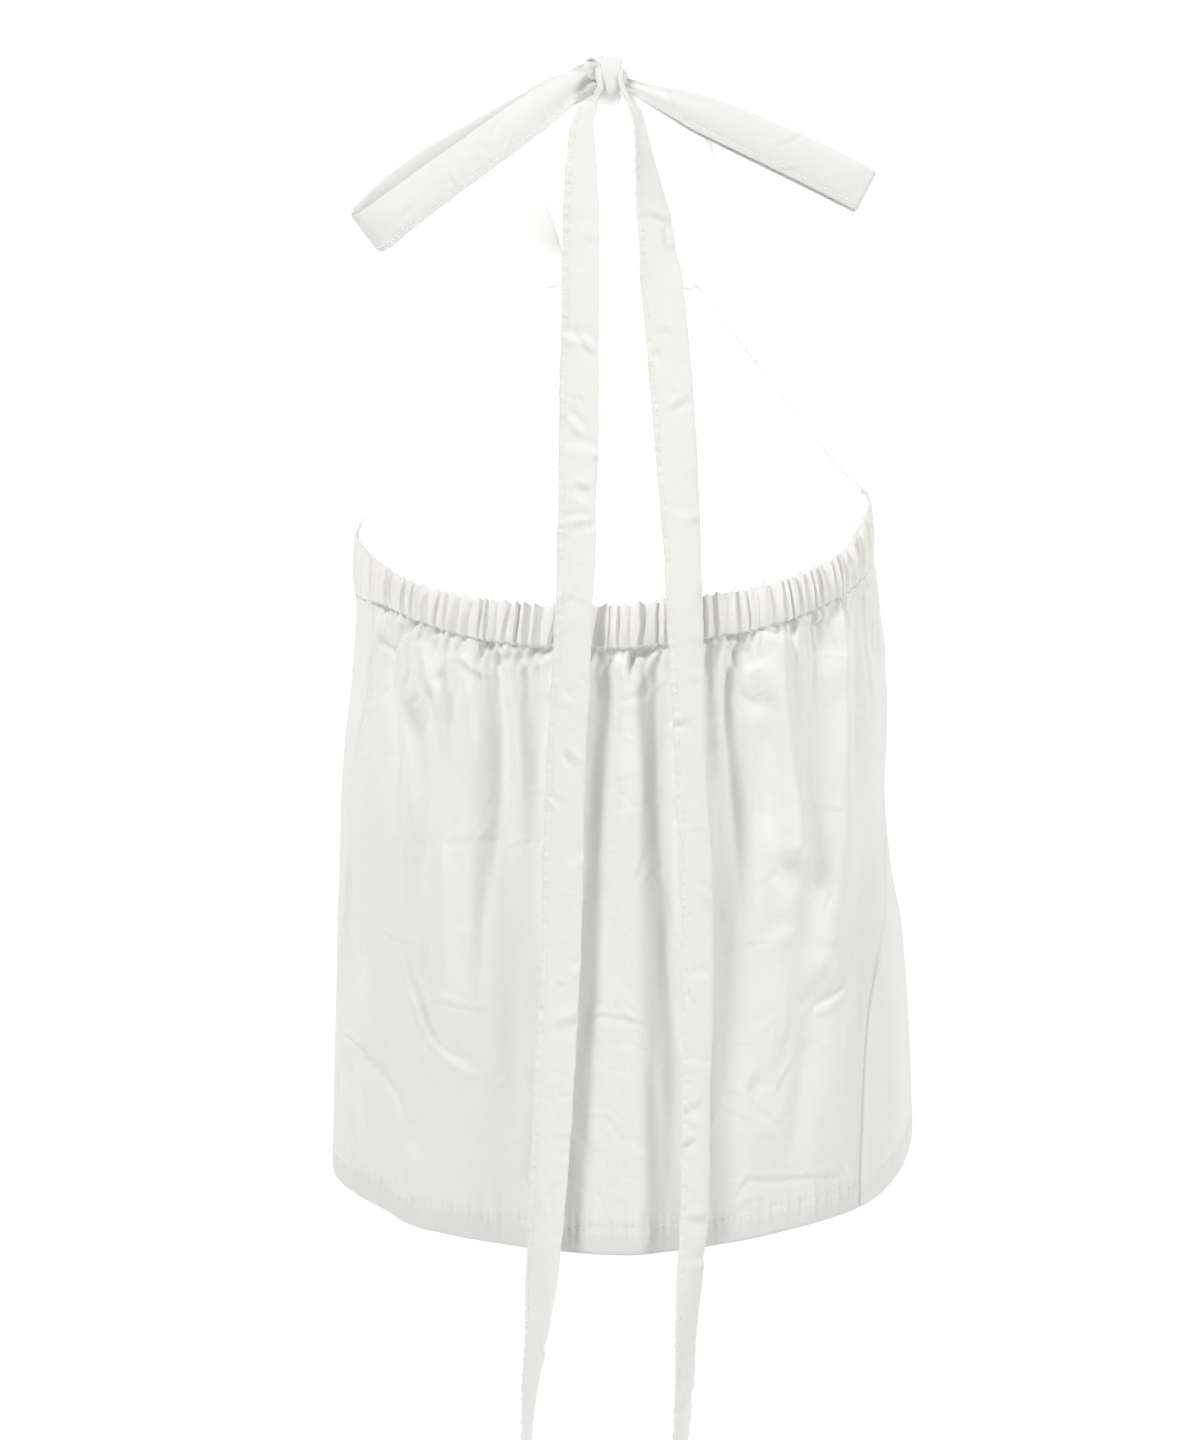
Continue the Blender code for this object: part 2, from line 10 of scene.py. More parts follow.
import bpy
import numpy as np
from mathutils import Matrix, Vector


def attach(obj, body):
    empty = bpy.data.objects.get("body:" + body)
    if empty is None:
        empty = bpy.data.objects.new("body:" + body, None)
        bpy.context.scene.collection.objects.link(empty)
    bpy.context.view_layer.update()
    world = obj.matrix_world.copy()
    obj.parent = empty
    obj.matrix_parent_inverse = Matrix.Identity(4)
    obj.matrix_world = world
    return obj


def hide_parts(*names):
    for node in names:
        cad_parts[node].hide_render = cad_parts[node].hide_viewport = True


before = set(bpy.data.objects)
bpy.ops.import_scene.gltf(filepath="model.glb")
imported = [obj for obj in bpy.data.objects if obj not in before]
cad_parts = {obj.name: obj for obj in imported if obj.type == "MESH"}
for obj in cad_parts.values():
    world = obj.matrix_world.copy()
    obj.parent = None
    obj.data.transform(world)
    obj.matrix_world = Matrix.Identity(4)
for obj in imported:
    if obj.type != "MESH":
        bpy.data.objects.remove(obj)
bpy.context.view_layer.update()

MM = 0.001
ROOT = "root"

# Camera, in millimetres: level, facing +Y. PICTURE is the frame in pixels, and PICTURE_SCALE the
# millimetres in one of them at the focus depth
EYE = (-8.0, -2257.0, -378.0)
PICTURE = (1200, 1440)
PICTURE_SCALE = 0.58
FOCUS_DEPTH = 2200.0
SENSOR = 36.0

# Body. The arcs are lengths round the panels. TUCK is how far the back goes up behind the casing, and
# BIB_END is just outside the casing's left end, the long way round
AXIS_Y = 62.0
SEAM_GAP = 0.3
SIDE_GAP = math.degrees(0.24 / 120.0)
SEAM_TOP = -300.0
BACK_ARC = 420.0
FRONT_ARC = 560.0
SIDE_TURN = 4.0
TUCK = 4.0
RUCHES = 72
CASING_LEFT = -93.6
CASING_RIGHT = 97.2
BIB_END = CASING_LEFT - 0.9 + 360.0
BIB_EDGE = 4.0
HEM_WIDTH = 14.0

# Columns and rows of nodes of the back, the front (bib, under the left arm, rows), and the casing
BACK_COLUMNS, BACK_ROWS = 331, 235
BIB_COLUMNS, ARM_COLUMNS, FRONT_ROWS, BIB_ROWS = 261, 41, 150, 90
RUCHE_COLUMNS, OUTER_ROWS, INNER_ROWS = 16, 19, 7

# Millimetres in one degree round the front and round the hems
FRONT_DEGREE = 2.3
HEM_DEGREE = 2.8

# Ties and stitches. The steps are those between sections
STRAP_THICK = 1.5
KNOT_THICK = 1.1
STRAP_STEP = 1.5
KNOT_STEP = 0.7
EDGE_STITCH = 3.0
STITCH_PITCH = 2.7
STITCH_RADIUS = 0.27

TORSO = [
    # z, half_width, centre_x, back_depth, front_depth
    (-60, 108, 0.0, 66, 56), (-110, 122, 0.0, 76, 69), (-170, 140, 0.0, 90, 86),
    (-240, 155, 0.5, 97, 101), (-280, 158, 0.9, 99, 106), (-317, 160, 3.0, 99, 108),
    (-354, 163.2, 3.6, 100, 109), (-390, 165.5, 1.8, 101, 109), (-427, 166.2, 0.0, 102, 110),
    (-464, 168.2, 1.2, 103, 111), (-500, 172, 3.8, 104, 113), (-537, 174, 5.1, 105, 115),
    (-610, 176.4, 5.8, 107, 119), (-700, 177, 5.8, 108, 121),
]
BAND = [
    # angle, top, bottom
    (-96, -260, -296), (-78, -270.5, -304), (-62, -284, -309.5), (-48, -297, -319.5),
    (-30, -306.5, -331), (-12, -311, -336), (0, -310.5, -336.5), (15, -306, -331.5),
    (31, -299.5, -324.5), (46, -289, -313.5), (59, -277, -302.5), (76, -253, -287), (99, -236, -269),
]
BUST = [
    # angle, z
    (99, -269), (125, -262), (180, -262), (235, -270), (264, -296),
]
FRONT_TOP = [
    # angle, z
    (98, -236.5), (110, -225), (122, -201), (134, -168), (146, -130), (155, -106), (168, -106),
    (180, -113), (192, -106), (205, -106), (214, -130), (226, -170), (238, -208), (250, -236),
    (266, -259),
]
HEM = [
    # angle, z
    (-180, -612), (-140, -614), (-112, -630), (-85, -650), (-60, -664), (-40, -678), (-22, -684.5),
    (0, -689.3), (19, -683.7), (37, -675), (54, -666), (71, -648), (85, -629), (110, -616), (140, -612),
    (180, -612),
]
SIDE_SEAMS = [
    # z, left_angle, right_angle
    (-230, -68, 98), (-310, -68, 98), (-351, -68, 97), (-400, -71, 93), (-432, -73, 87), (-472, -75, 75),
    (-513, -77, 64), (-558, -79, 57), (-610, -81, 54), (-690, -84, 52),
]
FRONT_FOLDS = [
    # angle_start, z_start, angle_end, z_end, half_angle, height
    (112, -270, 108, -620, 5, -4.0), (124, -255, 122, -640, 5, 3.5), (136, -270, 134, -640, 5, -4.5),
    (150, -230, 149, -640, 6, 3.0), (164, -180, 163, -640, 5, -4.5), (177, -150, 178, -640, 6, 3.5),
    (191, -180, 193, -640, 5, -4.5), (206, -230, 208, -640, 6, 3.5), (219, -270, 221, -640, 5, -4.5),
    (233, -260, 236, -640, 5, 3.5), (246, -290, 249, -640, 5, -4.0),
]
TAIL_LEFT = [
    # z, x, y, half_width, turn
    (-7.2, -7.2, -16.5, 3.2, -24), (-15, -14.6, -20.5, 4.8, -9), (-31, -18.9, -23, 7.3, -8),
    (-55, -19.2, -25.5, 9.4, -6), (-79, -19.2, -28, 10.5, -5), (-103, -19.4, -30.5, 10.9, -5),
    (-144, -19.7, -34, 11.1, -5), (-180, -20.3, -37, 11.7, -5), (-215, -20.5, -40, 12.0, -5),
    (-250, -21.4, -42.8, 11.3, -6), (-285, -22.0, -45.3, 11.7, -6), (-305, -22.8, -46.8, 11.0, -6),
    (-360, -25.5, -48.6, 11.4, -6), (-413, -28.3, -49.6, 11.6, -6), (-505, -30.7, -51, 12.0, -6),
    (-579, -34.3, -52, 11.9, -7), (-634, -37.2, -53, 11.4, -10), (-680, -40.1, -53.8, 10.6, -18),
    (-702, -41.9, -53.8, 10.6, -28), (-720, -43.6, -53.5, 10.8, -42), (-737, -45.1, -53.2, 11.2, -54),
    (-754, -47.4, -53, 11.6, -63), (-772, -49.4, -52.8, 12.0, -70), (-789, -50.3, -52.5, 12.2, -75),
    (-822, -51.5, -52.2, 12.4, -77),
]
TAIL_RIGHT = [
    # z, x, y, half_width, turn
    (-6.6, 6.5, -16.6, 3.4, 26), (-17, 12.0, -20.5, 5.6, 48), (-30, 15.8, -23, 8.0, 60),
    (-55, 19.3, -26, 10.0, 46), (-79, 23.1, -28.5, 11.3, 30), (-103, 26.0, -30.8, 11.8, 20),
    (-126, 28.6, -32.5, 12.6, 6), (-180, 33.5, -37, 12.8, 4), (-215, 36.1, -40, 12.6, 5),
    (-250, 38.3, -42.8, 12.1, 8), (-285, 40.3, -45.3, 11.2, 9), (-305, 40.9, -46.8, 11.1, 10),
    (-360, 43.0, -48.6, 10.0, 12), (-413, 44.8, -49.6, 9.6, 13), (-468, 47.6, -50.4, 10.1, 13),
    (-542, 48.9, -51.2, 9.4, 14), (-598, 47.9, -52, 8.5, 15), (-653, 47.3, -53, 8.8, 17),
    (-702, 44.1, -53.8, 8.5, 28), (-737, 41.8, -53.6, 9.0, 45), (-772, 40.6, -53.2, 10.0, 58),
    (-800, 38.6, -52.8, 10.8, 64), (-822, 37.6, -52.5, 11.2, 66),
]
# The first row of each loop is inside the knot
LOOP_LEFT = [
    # x, z, half_width, y_front, y_back, back_rise
    (-4.0, 6.5, 4.5, -11.0, -7.5, 0.0),
    (-12.9, 4.4, 3.8, -12.4, -6.8, 0.0),
    (-22, -1.0, 6.2, -14, -6.2, 1.0),
    (-36, -11.5, 9.5, -17, -6, 3.0),
    (-54, -25.4, 11.5, -21, -6, 5.0),
    (-79, -44, 12.2, -25, -8, 8.5),
    (-104, -62.6, 12.6, -27, -10, 11.0),
    (-126, -79, 13.0, -27.5, -13, 10.0),
    (-140, -89.6, 13.6, -26, -16, 6.5),
]
LOOP_RIGHT = [
    # x, z, half_width, y_front, y_back, back_rise
    (2.0, -1.2, 3.2, -12.2, -8.2, 0.0),
    (11.9, -3.7, 3.4, -12.6, -7.4, 0.0),
    (22, -8, 4.8, -14.5, -8.5, 0.0),
    (35, -13, 7.6, -17, -11, -0.5),
    (51.5, -20, 10.5, -19.4, -14, -1.0),
    (75, -30.5, 11.8, -21.4, -16.8, -1.3),
    (100, -42, 12.6, -22.6, -18.6, -1.5),
    (125, -54, 13.0, -23, -19.5, -1.5),
    (147, -65.6, 13.0, -22.8, -19.4, -1.0),
]
NECK = [
    # x, y, z, out_x, out_y, out_z, half_width
    (38.6, 123.8, -105.85, 0.2, 0.96, 0.15, 12.2),
    (43, 120.5, -86, 0.4, 0.85, 0.3, 12.0),
    (50, 107, -62, 0.65, 0.6, 0.45, 11.5),
    (56, 86, -41, 0.88, 0.2, 0.42, 11.0),
    (59, 62, -27, 0.96, -0.1, 0.25, 10.0),
    (54, 38, -18.5, 0.86, -0.48, 0.15, 8.5),
    (41, 17.5, -13, 0.6, -0.8, 0.1, 6.5),
    (25, 5.5, -8, 0.35, -0.93, 0.05, 4.6),
    (8.8, -2.6, -2.5, 0.25, -0.96, 0.0, 3.2),
]

# Knot: bundles (centre, radii, height of ridges, seed) and straps (points and half width, way across, seed)
KNOT_PILLOWS = [
    ((-1.0, -9.5, 0.0), (9.6, 8.2, 11.6), 0.05, 0.0),
    ((-12.4, -12.5, 6.8), (5.4, 5.2, 6.4), 0.02, 2.0),
]
KNOT_STRAPS = [
    # wrap over the middle
    ([(-1.0, 0.0, 9.5, 5.6), (-1.0, -5.0, 12.4, 6.0), (-1.6, -11.5, 12.6, 6.6), (-2.2, -17.0, 9.2, 6.8),
      (-2.7, -19.8, 3.0, 6.6), (-3.1, -19.8, -4.0, 6.4), (-3.2, -16.8, -10.0, 6.8), (-3.2, -10.5, -13.0, 7.0),
      (-3.0, -4.0, -11.4, 6.2), (-2.6, 0.0, -7.0, 5.0)], (1.0, 0.0, 0.0), 0.0),
    # folded edge at the left, running on into the left tail
    ([(-7.4, -15.0, 9.8, 1.2), (-9.0, -19.0, 6.0, 1.7), (-8.8, -21.3, 1.0, 2.0), (-7.8, -21.8, -4.5, 2.0),
      (-9.8, -21.2, -9.0, 1.8), (-12.0, -21.0, -15.0, 1.2)], (1.0, -0.2, 0.0), 1.0),
    # folded edge at the right, running on into the right tail
    ([(3.4, -15.6, 9.4, 0.9), (4.4, -19.2, 5.0, 1.2), (4.0, -20.9, 0.5, 1.4), (5.6, -21.2, -6.0, 1.5),
      (8.8, -21.0, -12.0, 1.4), (12.0, -21.4, -19.0, 1.0)], (1.0, 0.2, 0.0), 2.0),
    # rim of the curl
    ([(-15.6, -14.6, 12.0, 0.8), (-13.4, -16.6, 12.8, 1.3), (-10.4, -18.0, 11.2, 1.6),
      (-8.4, -18.8, 6.0, 1.6), (-9.0, -19.0, 1.8, 1.4)], (0.25, -1.0, 0.1), 3.0),
]

# Folds and creases of the back: (u, v) points of a line in pixels, kind, half widths in millimetres at
# its start and end, height in millimetres, and the shares of its length over which it comes in and fades
# out. A fold is a round ridge, a valley is sharper, and a lip is high on one side and low on the other
BACK_CREASES = [
    # gathers that run on as long folds
    ([(388, 640), (389, 730), (392, 850), (398, 930)], "fold", 7, 9, -3.2, 0.1, 0.5),
    ([(406, 632), (401, 675), (403, 699), (411, 740), (416, 800), (422, 900)], "fold", 4, 9, 3.4, 0.06, 0.4),
    ([(423, 636), (430, 660), (440, 705), (446, 740)], "fold", 6, 5, 3.6, 0.1, 0.5),
    ([(432, 684), (427, 712), (425, 750)], "valley", 4, 5, -2.6, 0.2, 0.6),
    ([(458, 648), (471, 692), (476, 727), (476, 800)], "fold", 5, 8, 3, 0.08, 0.5),
    ([(497, 648), (499, 712), (498, 780), (490, 900), (478, 980)], "valley", 7, 12, -6.5, 0.05, 0.55),
    ([(512, 655), (517, 700), (522, 780), (520, 860)], "fold", 5, 9, 3.8, 0.06, 0.5),
    ([(604, 640), (600, 712), (590, 780), (584, 900), (578, 1000)], "valley", 5, 8, -1.4, 0.04, 0.85),
    ([(600, 712), (588, 860), (580, 1040), (572, 1200)], "valley", 9, 12, -0.5, 0.3, 0.3),
    ([(608, 655), (627, 675), (632, 720), (630, 800), (622, 900), (618, 1000)],
     "fold", 5, 18, 3.4, 0.05, 0.6),
    ([(652, 650), (643, 672), (636, 700)], "fold", 3.5, 4, 2.2, 0.1, 0.5),
    ([(654, 641), (656, 743), (660, 850), (668, 971)], "valley", 5, 10, -2.4, 0.05, 0.75),
    ([(656, 743), (664, 900), (674, 1067), (667, 1180)], "valley", 9, 12, -1.5, 0.3, 0.4),
    ([(720, 637), (713, 672), (720, 719), (722, 800)], "fold", 4, 7, 3.4, 0.05, 0.4),
    ([(743, 640), (729, 674), (725, 714), (732, 765), (740, 850), (746, 950)],
     "valley", 5, 12, -6.5, 0.04, 0.5),
    ([(752, 662), (766, 684), (772, 712)], "fold", 6, 5, 3.2, 0.15, 0.5),
    ([(740, 690), (752, 704), (766, 708)], "valley", 6, 6, -1.8, 0.3, 0.4),
    ([(760, 716), (766, 780), (769, 852)], "valley", 8, 8, -2.4, 0.25, 0.3),
    ([(778, 627), (779, 674), (784, 714), (790, 780), (790, 872)], "fold", 5, 8, 4.8, 0.05, 0.1),
    ([(766, 868), (784, 884), (804, 872)], "valley", 5, 5, -1, 0.3, 0.3),
    ([(818, 615), (818, 660), (815, 760)], "valley", 6, 9, -4.2, 0.08, 0.6),
    ([(838, 604), (844, 653), (846, 780), (834, 908), (816, 1002)], "fold", 6, 10, 4.4, 0.05, 0.1),
    ([(857, 590), (858, 660), (853, 780), (846, 850)], "valley", 4, 6, -3, 0.1, 0.5),
    ([(861, 588), (872, 625), (883, 672)], "lip", 3, 4, 1.6, 0.1, 0.3),
    # rounded pocket at the left and the dark crescent under it
    ([(384, 612), (381, 628), (388, 640)], "fold", 6, 4, 1.3, 0.3, 0.4),
    ([(377, 637), (387, 654), (397, 651), (407, 618)], "valley", 3.2, 2.4, -2.2, 0.2, 0.3),
    ([(459, 656), (474, 672), (493, 683)], "lip", 3, 4, 1.8, 0.15, 0.3),
    ([(522, 652), (524, 668)], "valley", 5, 4, -2.8, 0.2, 0.5),
    ([(533, 654), (538, 668), (549, 655)], "fold", 2.5, 2.5, 1.6, 0.2, 0.2),
    # the lower part
    ([(419, 844), (425, 984), (438, 1032), (452, 1060)], "fold", 9, 10, 2.6, 0.3, 0.3),
    ([(406, 939), (428, 1016), (441, 1048), (479, 1073), (492, 1074)], "lip", 4, 4, -1.6, 0.2, 0.12),
    ([(345, 1041), (384, 1083), (409, 1131), (428, 1163)], "valley", 8, 8, -2.8, 0.3, 0.3),
    ([(341, 841), (350, 920), (361, 1003)], "valley", 3, 5, -2, 0.3, 0.3),
    ([(344, 1032), (356, 1044), (368, 1054)], "lip", 2, 2, 0.7, 0.2, 0.3),
    ([(352, 1061), (362, 1100), (369, 1137)], "lip", 2.5, 2.5, 0.9, 0.2, 0.3),
    ([(338, 1067), (342, 1115), (344, 1163)], "lip", 1.8, 1.8, 0.8, 0.2, 0.2),
    ([(346, 1075), (352, 1120), (354, 1160)], "lip", 1.6, 1.6, -0.6, 0.2, 0.2),
    ([(460, 760), (470, 900), (482, 1040), (486, 1150)], "fold", 14, 16, 2.2, 0.3, 0.4),
    ([(535, 900), (530, 1060), (524, 1200)], "fold", 12, 14, 2, 0.3, 0.2),
    ([(742, 1176), (760, 1179), (800, 1176), (839, 1173)], "lip", 1.6, 1.6, 0.9, 0.1, 0.1),
    ([(733, 1198), (741, 1186), (749, 1175)], "lip", 1.8, 1.8, 0.7, 0.2, 0.2),
    ([(770, 950), (776, 1050), (772, 1190)], "fold", 14, 16, 2.2, 0.3, 0.3),
    ([(806, 1030), (800, 1100), (790, 1170)], "valley", 10, 10, -1.8, 0.3, 0.4),
    ([(700, 900), (712, 1020), (716, 1180)], "fold", 8, 12, 1.8, 0.3, 0.3),
    # light pressed creases
    ([(580, 1022), (600, 1013), (622, 1018), (663, 1027)], "lip", 2, 2, 0.8, 0.15, 0.3),
    ([(371, 927), (396, 940), (425, 946)], "lip", 1.8, 1.8, 0.5, 0.2, 0.3),
    ([(432, 997), (479, 1010), (534, 1010)], "lip", 1.8, 1.8, 0.55, 0.2, 0.3),
    ([(620, 735), (628, 741), (636, 742)], "lip", 1.6, 1.6, 0.7, 0.2, 0.3),
    ([(812, 1012), (830, 1003), (846, 986)], "lip", 3, 2.5, -1.4, 0.2, 0.2),
    ([(500, 850), (520, 842), (542, 838)], "lip", 1.8, 1.8, 0.5, 0.2, 0.3),
    ([(596, 790), (612, 780), (640, 776)], "lip", 1.6, 1.6, 0.45, 0.2, 0.3),
    ([(740, 1095), (776, 1120), (800, 1150)], "lip", 2, 2, 0.5, 0.2, 0.3),
    ([(452, 1120), (480, 1140), (505, 1146)], "lip", 1.8, 1.8, 0.5, 0.2, 0.3),
    ([(843, 1163), (848, 1180), (856, 1194)], "lip", 2, 2, 1, 0.2, 0.2),
]

# Soft long folds of the back: seed, count, and the heights that they start between. FOLD_SIDES are the
# sides that they start between, and LEFT_DEEPER is where all folds deepen to the left, and over what
# width. All of it is in pixels
BACK_FOLDS = [(8, 40, 640, 960), (9, 28, 900, 1130)]
FOLD_SIDES = (345, 895)
LEFT_DEEPER = (500.0, 90.0)

# Fields of light creases: seed, count, two corners of the field, length, half width and height in
# millimetres, and lean in radians. Corners and lengths are in pixels for the back, else in millimetres
BACK_FIELDS = [
    (5, 200, (335, 680), (890, 1220), 62, 2.0, 0.65, 0.9),
    (6, 110, (335, 650), (890, 900), 46, 1.8, 0.65, 1.5),
    (7, 50, (335, 640), (890, 1190), 60, 4.5, 1.1, 1.2),
]
FRONT_FIELD = (8, 190, (95 * FRONT_DEGREE, 110), (292 * FRONT_DEGREE, 640), 46, 2.0, 0.36, 0.9)

# Stage, in metres: strengths of the light all round and of plain white, the floor, and its soft shade
FILL = 0.13
WHITE = 1.05
FLOOR_Z = -0.87
FLOOR_RADIUS = 1.6
SHADE_CENTRE = (0.0, -0.2, FLOOR_Z)
SHADE_REACH = (0.15, 0.42)
DAYLIGHT = (1.0, 0.99, 0.98)
LAMPS = [
    # name, place, aim, size, power in watts, colour, spread in degrees
    ("left", (-1.55, -1.6, 1.45), (0.0, -0.04, -0.35), 0.8, 56.0, (1.0, 0.99, 0.975), 180),
    ("right", (1.95, -1.05, 0.9), (0.0, -0.04, -0.35), 0.6, 33.5, DAYLIGHT, 180),
    ("front_left", (-1.6, 1.6, 1.3), (0.0, 0.1, -0.35), 0.8, 25.0, DAYLIGHT, 180),
    ("front_right", (1.7, 1.5, 0.9), (0.0, 0.1, -0.35), 0.8, 17.0, DAYLIGHT, 180),
    ("inside", (0.0, 0.03, -0.43), (0.0, 0.165, -0.19), 0.11, 0.42, (1.0, 1.0, 1.0), 100),
]


def curve(rows, column):
    """Smooth function, for arrays, through one column of a table whose first column is the argument."""
    rows = sorted(rows)
    xs = np.array([row[0] for row in rows], float)
    ys = np.array([row[column] for row in rows], float)
    steps = np.diff(ys) / np.diff(xs)
    slopes = np.empty(len(xs))
    slopes[0], slopes[-1] = steps[0], steps[-1]
    product = steps[:-1] * steps[1:]
    total = steps[:-1] + steps[1:]
    slopes[1:-1] = np.where(product > 0, 2 * product / np.where(total == 0, 1, total), 0.0)

    def value(x):
        x = np.clip(x, xs[0], xs[-1])
        i = np.clip(np.searchsorted(xs, x, side="right") - 1, 0, len(xs) - 2)
        width = xs[i + 1] - xs[i]
        t = (x - xs[i]) / width
        low = (1 + 2 * t) * (1 - t) ** 2 * ys[i] + t * (1 - t) ** 2 * width * slopes[i]
        high = t * t * (3 - 2 * t) * ys[i + 1] + t * t * (t - 1) * width * slopes[i + 1]
        return low + high

    return value


half_width_at, centre_at, back_depth_at, front_depth_at = (curve(TORSO, k) for k in (1, 2, 3, 4))
band_top_at, band_bottom_at = curve(BAND, 1), curve(BAND, 2)
bust_at = curve(BUST, 1)
front_top_at = curve(FRONT_TOP, 1)
hem_at = curve(HEM, 1)
seam_left_at, seam_right_at = curve(SIDE_SEAMS, 1), curve(SIDE_SEAMS, 2)


def wrapped(angle):
    """The same angle between -180 and 180."""
    return (angle + 180.0) % 360.0 - 180.0


def body(angle, z):
    """Points on the smooth body of the garment, and the outward directions there."""
    turn = np.radians(angle)
    wide = half_width_at(z)
    deep = np.where(np.abs(wrapped(angle)) <= 90, back_depth_at(z), front_depth_at(z))
    point = np.stack([centre_at(z) + wide * np.sin(turn), AXIS_Y - deep * np.cos(turn), z], -1)
    out = np.stack([np.sin(turn) / wide, -np.cos(turn) / deep, np.zeros_like(z)], -1)
    return point, unit(out)


def unit(vectors):
    return vectors / np.maximum(np.linalg.norm(vectors, axis=-1, keepdims=True), 1e-9)


def seen_at(points):
    """Where points show in the picture, in its pixels."""
    scale = FOCUS_DEPTH / PICTURE_SCALE / (points[..., 1] - EYE[1])
    u = PICTURE[0] / 2 + (points[..., 0] - EYE[0]) * scale
    v = PICTURE[1] / 2 - (points[..., 2] - EYE[2]) * scale
    return np.stack([u, v], -1)


def smooth_step(t):
    t = np.clip(t, 0.0, 1.0)
    return t * t * (3 - 2 * t)


def along_line(places, line):
    """Nearest share along a line of points for each place, and the signed distance to its left."""
    lengths = np.linalg.norm(np.diff(line, axis=0), axis=1)
    starts = np.concatenate([[0.0], np.cumsum(lengths)])
    best = np.full(places.shape[:-1], np.inf)
    share = np.zeros_like(best)
    side = np.zeros_like(best)
    for a, b, start, length in zip(line[:-1], line[1:], starts, lengths):
        way = (b - a) / length
        reach = (places - a) @ way
        held = np.clip(reach, 0.0, length)
        gap = places - a - held[..., None] * way
        distance = np.linalg.norm(gap, axis=-1)
        closer = distance < best
        best = np.where(closer, distance, best)
        share = np.where(closer, (start + held) / starts[-1], share)
        turned = gap[..., 0] * way[1] - gap[..., 1] * way[0]
        side = np.where(closer, np.where(turned < 0, -distance, distance), side)
    return share, side


def rounded(line, rounds=2):
    """A line with its corners cut, so that a crease bends softly."""
    line = np.asarray(line, float)
    for _ in range(rounds):
        first = line[:-1] * 0.75 + line[1:] * 0.25
        second = line[:-1] * 0.25 + line[1:] * 0.75
        middle = np.stack([first, second], 1).reshape(-1, line.shape[1])
        line = np.concatenate([line[:1], middle[1:-1], line[-1:]])
    return line


def ridge(away):
    return np.exp(-away * away)


def groove(away):
    """Like a ridge, with a sharper line along its middle."""
    return np.exp(0.35 - np.sqrt(away * away * 2.2 + 0.1225))


def crease_relief(places, creases, unit_size=PICTURE_SCALE):
    """Height of all the creases at the places. unit_size is the millimetres in one step of a place."""
    total = np.zeros(places.shape[:-1])
    for line, kind, half_start, half_end, height, fade_in, fade_out in creases:
        line = rounded(line)
        reach = 3.2 * max(half_start, half_end) / unit_size
        low, high = line.min(0) - reach, line.max(0) + reach
        near = np.all((places > low) & (places < high), axis=-1)
        if not near.any():
            continue
        share, side = along_line(places[near], line)
        half = half_start + (half_end - half_start) * share
        strength = smooth_step(share / fade_in) * smooth_step((1 - share) / fade_out)
        away = side * unit_size / half
        if kind == "fold":
            shape = ridge(away)
        elif kind == "valley":
            shape = groove(away)
        else:
            shape = 1.6 * away * ridge(away)
        total[near] += height * strength * shape
    return total


def random_creases(seed, count, low, high, length, half, height, lean):
    """Light creases scattered over a field of places, at all slants but mostly across."""
    dice = np.random.default_rng(seed)
    low, high = np.array(low), np.array(high)
    creases = []
    for _ in range(count):
        start = low + (high - low) * dice.random(2)
        slant = dice.normal(0.0, lean)
        span = length * dice.uniform(0.4, 1.3)
        way = np.array([math.cos(slant), math.sin(slant)]) * span
        bow = np.array([-way[1], way[0]]) * dice.uniform(-0.15, 0.15)
        line = [start, start + way / 2 + bow, start + way]
        size = half * dice.uniform(0.7, 1.5)
        creases.append((line, "lip", size, size, height * dice.uniform(-1.0, 1.0), 0.4, 0.4))
    return creases


def long_folds(seed, count, high, low):
    """Soft folds that hang down the back and start between two heights, in picture pixels."""
    dice = np.random.default_rng(seed)
    folds = []
    for _ in range(count):
        u, v = dice.uniform(*FOLD_SIDES), dice.uniform(high, low)
        span, sway = dice.uniform(110, 300), dice.uniform(-16, 16)
        line = [(u, v), (u + sway, v + span / 2), (u + sway * dice.uniform(0.4, 2.0), v + span)]
        half = dice.uniform(3.5, 8.0)
        folds.append((line, "fold", half, half * 1.5, dice.uniform(-2.4, 2.4), 0.35, 0.5))
    return folds


def waves(positions, seed, pitch):
    """Uneven sum of sines along a line, about 1 high."""
    dice = np.random.default_rng(seed)
    total = np.zeros_like(positions)
    for share in (1.0, 0.62, 1.57):
        phase = dice.uniform(0, 6.28)
        total += np.sin(2 * np.pi * positions / (pitch * share) + phase) * dice.uniform(0.4, 0.8)
    return total / 1.4


def ruche_phase(angle):
    """Count of ruches from the left end of the casing, with uneven spacing and closer ends."""
    share = (angle - CASING_LEFT) / (CASING_RIGHT - CASING_LEFT)
    closer = 0.08 * (1 - np.exp(-share / 0.1)) - 0.07 * (1 - np.exp((share - 1) / 0.1))
    even = RUCHES * (share + closer)
    return even + 0.32 * waves(even, 11, 9.0) + 0.13 * waves(even, 12, 3.7)


def puff(phase, sharp):
    """Rounded puff between sharp dips, 0 to 1, for each whole step of the phase."""
    t = phase - np.floor(phase)
    return 1 - np.abs(2 * t - 1) ** sharp


def gather_relief(angle, below):
    """Small pleats under the casing, which merge and fade on the way down."""
    phase = ruche_phase(angle) + 0.25 * waves(below, 14, 40.0)
    which = np.floor(phase)
    strong = 0.45 + 0.55 * np.sin(which * 2.399 + 0.7) ** 2
    reach = 16.0 + 26.0 * np.sin(which * 1.713) ** 2
    rise = smooth_step(below / 2.5 + 0.25)
    small = (puff(phase, 1.7) - 0.55) * 4.6 * strong * rise * np.exp(-(below / reach) ** 1.4 * 1.6)
    wide = waves(phase, 15, 3.1) * 1.5 * rise * np.exp(-(below / 60.0) ** 1.6)
    hollow = -6.0 * np.clip(waves(phase, 16, 4.3) + 0.25, 0.0, 1.0) * ridge(below / 9.0)
    return small + wide + hollow - 1.3 * ridge(below / 4.0)


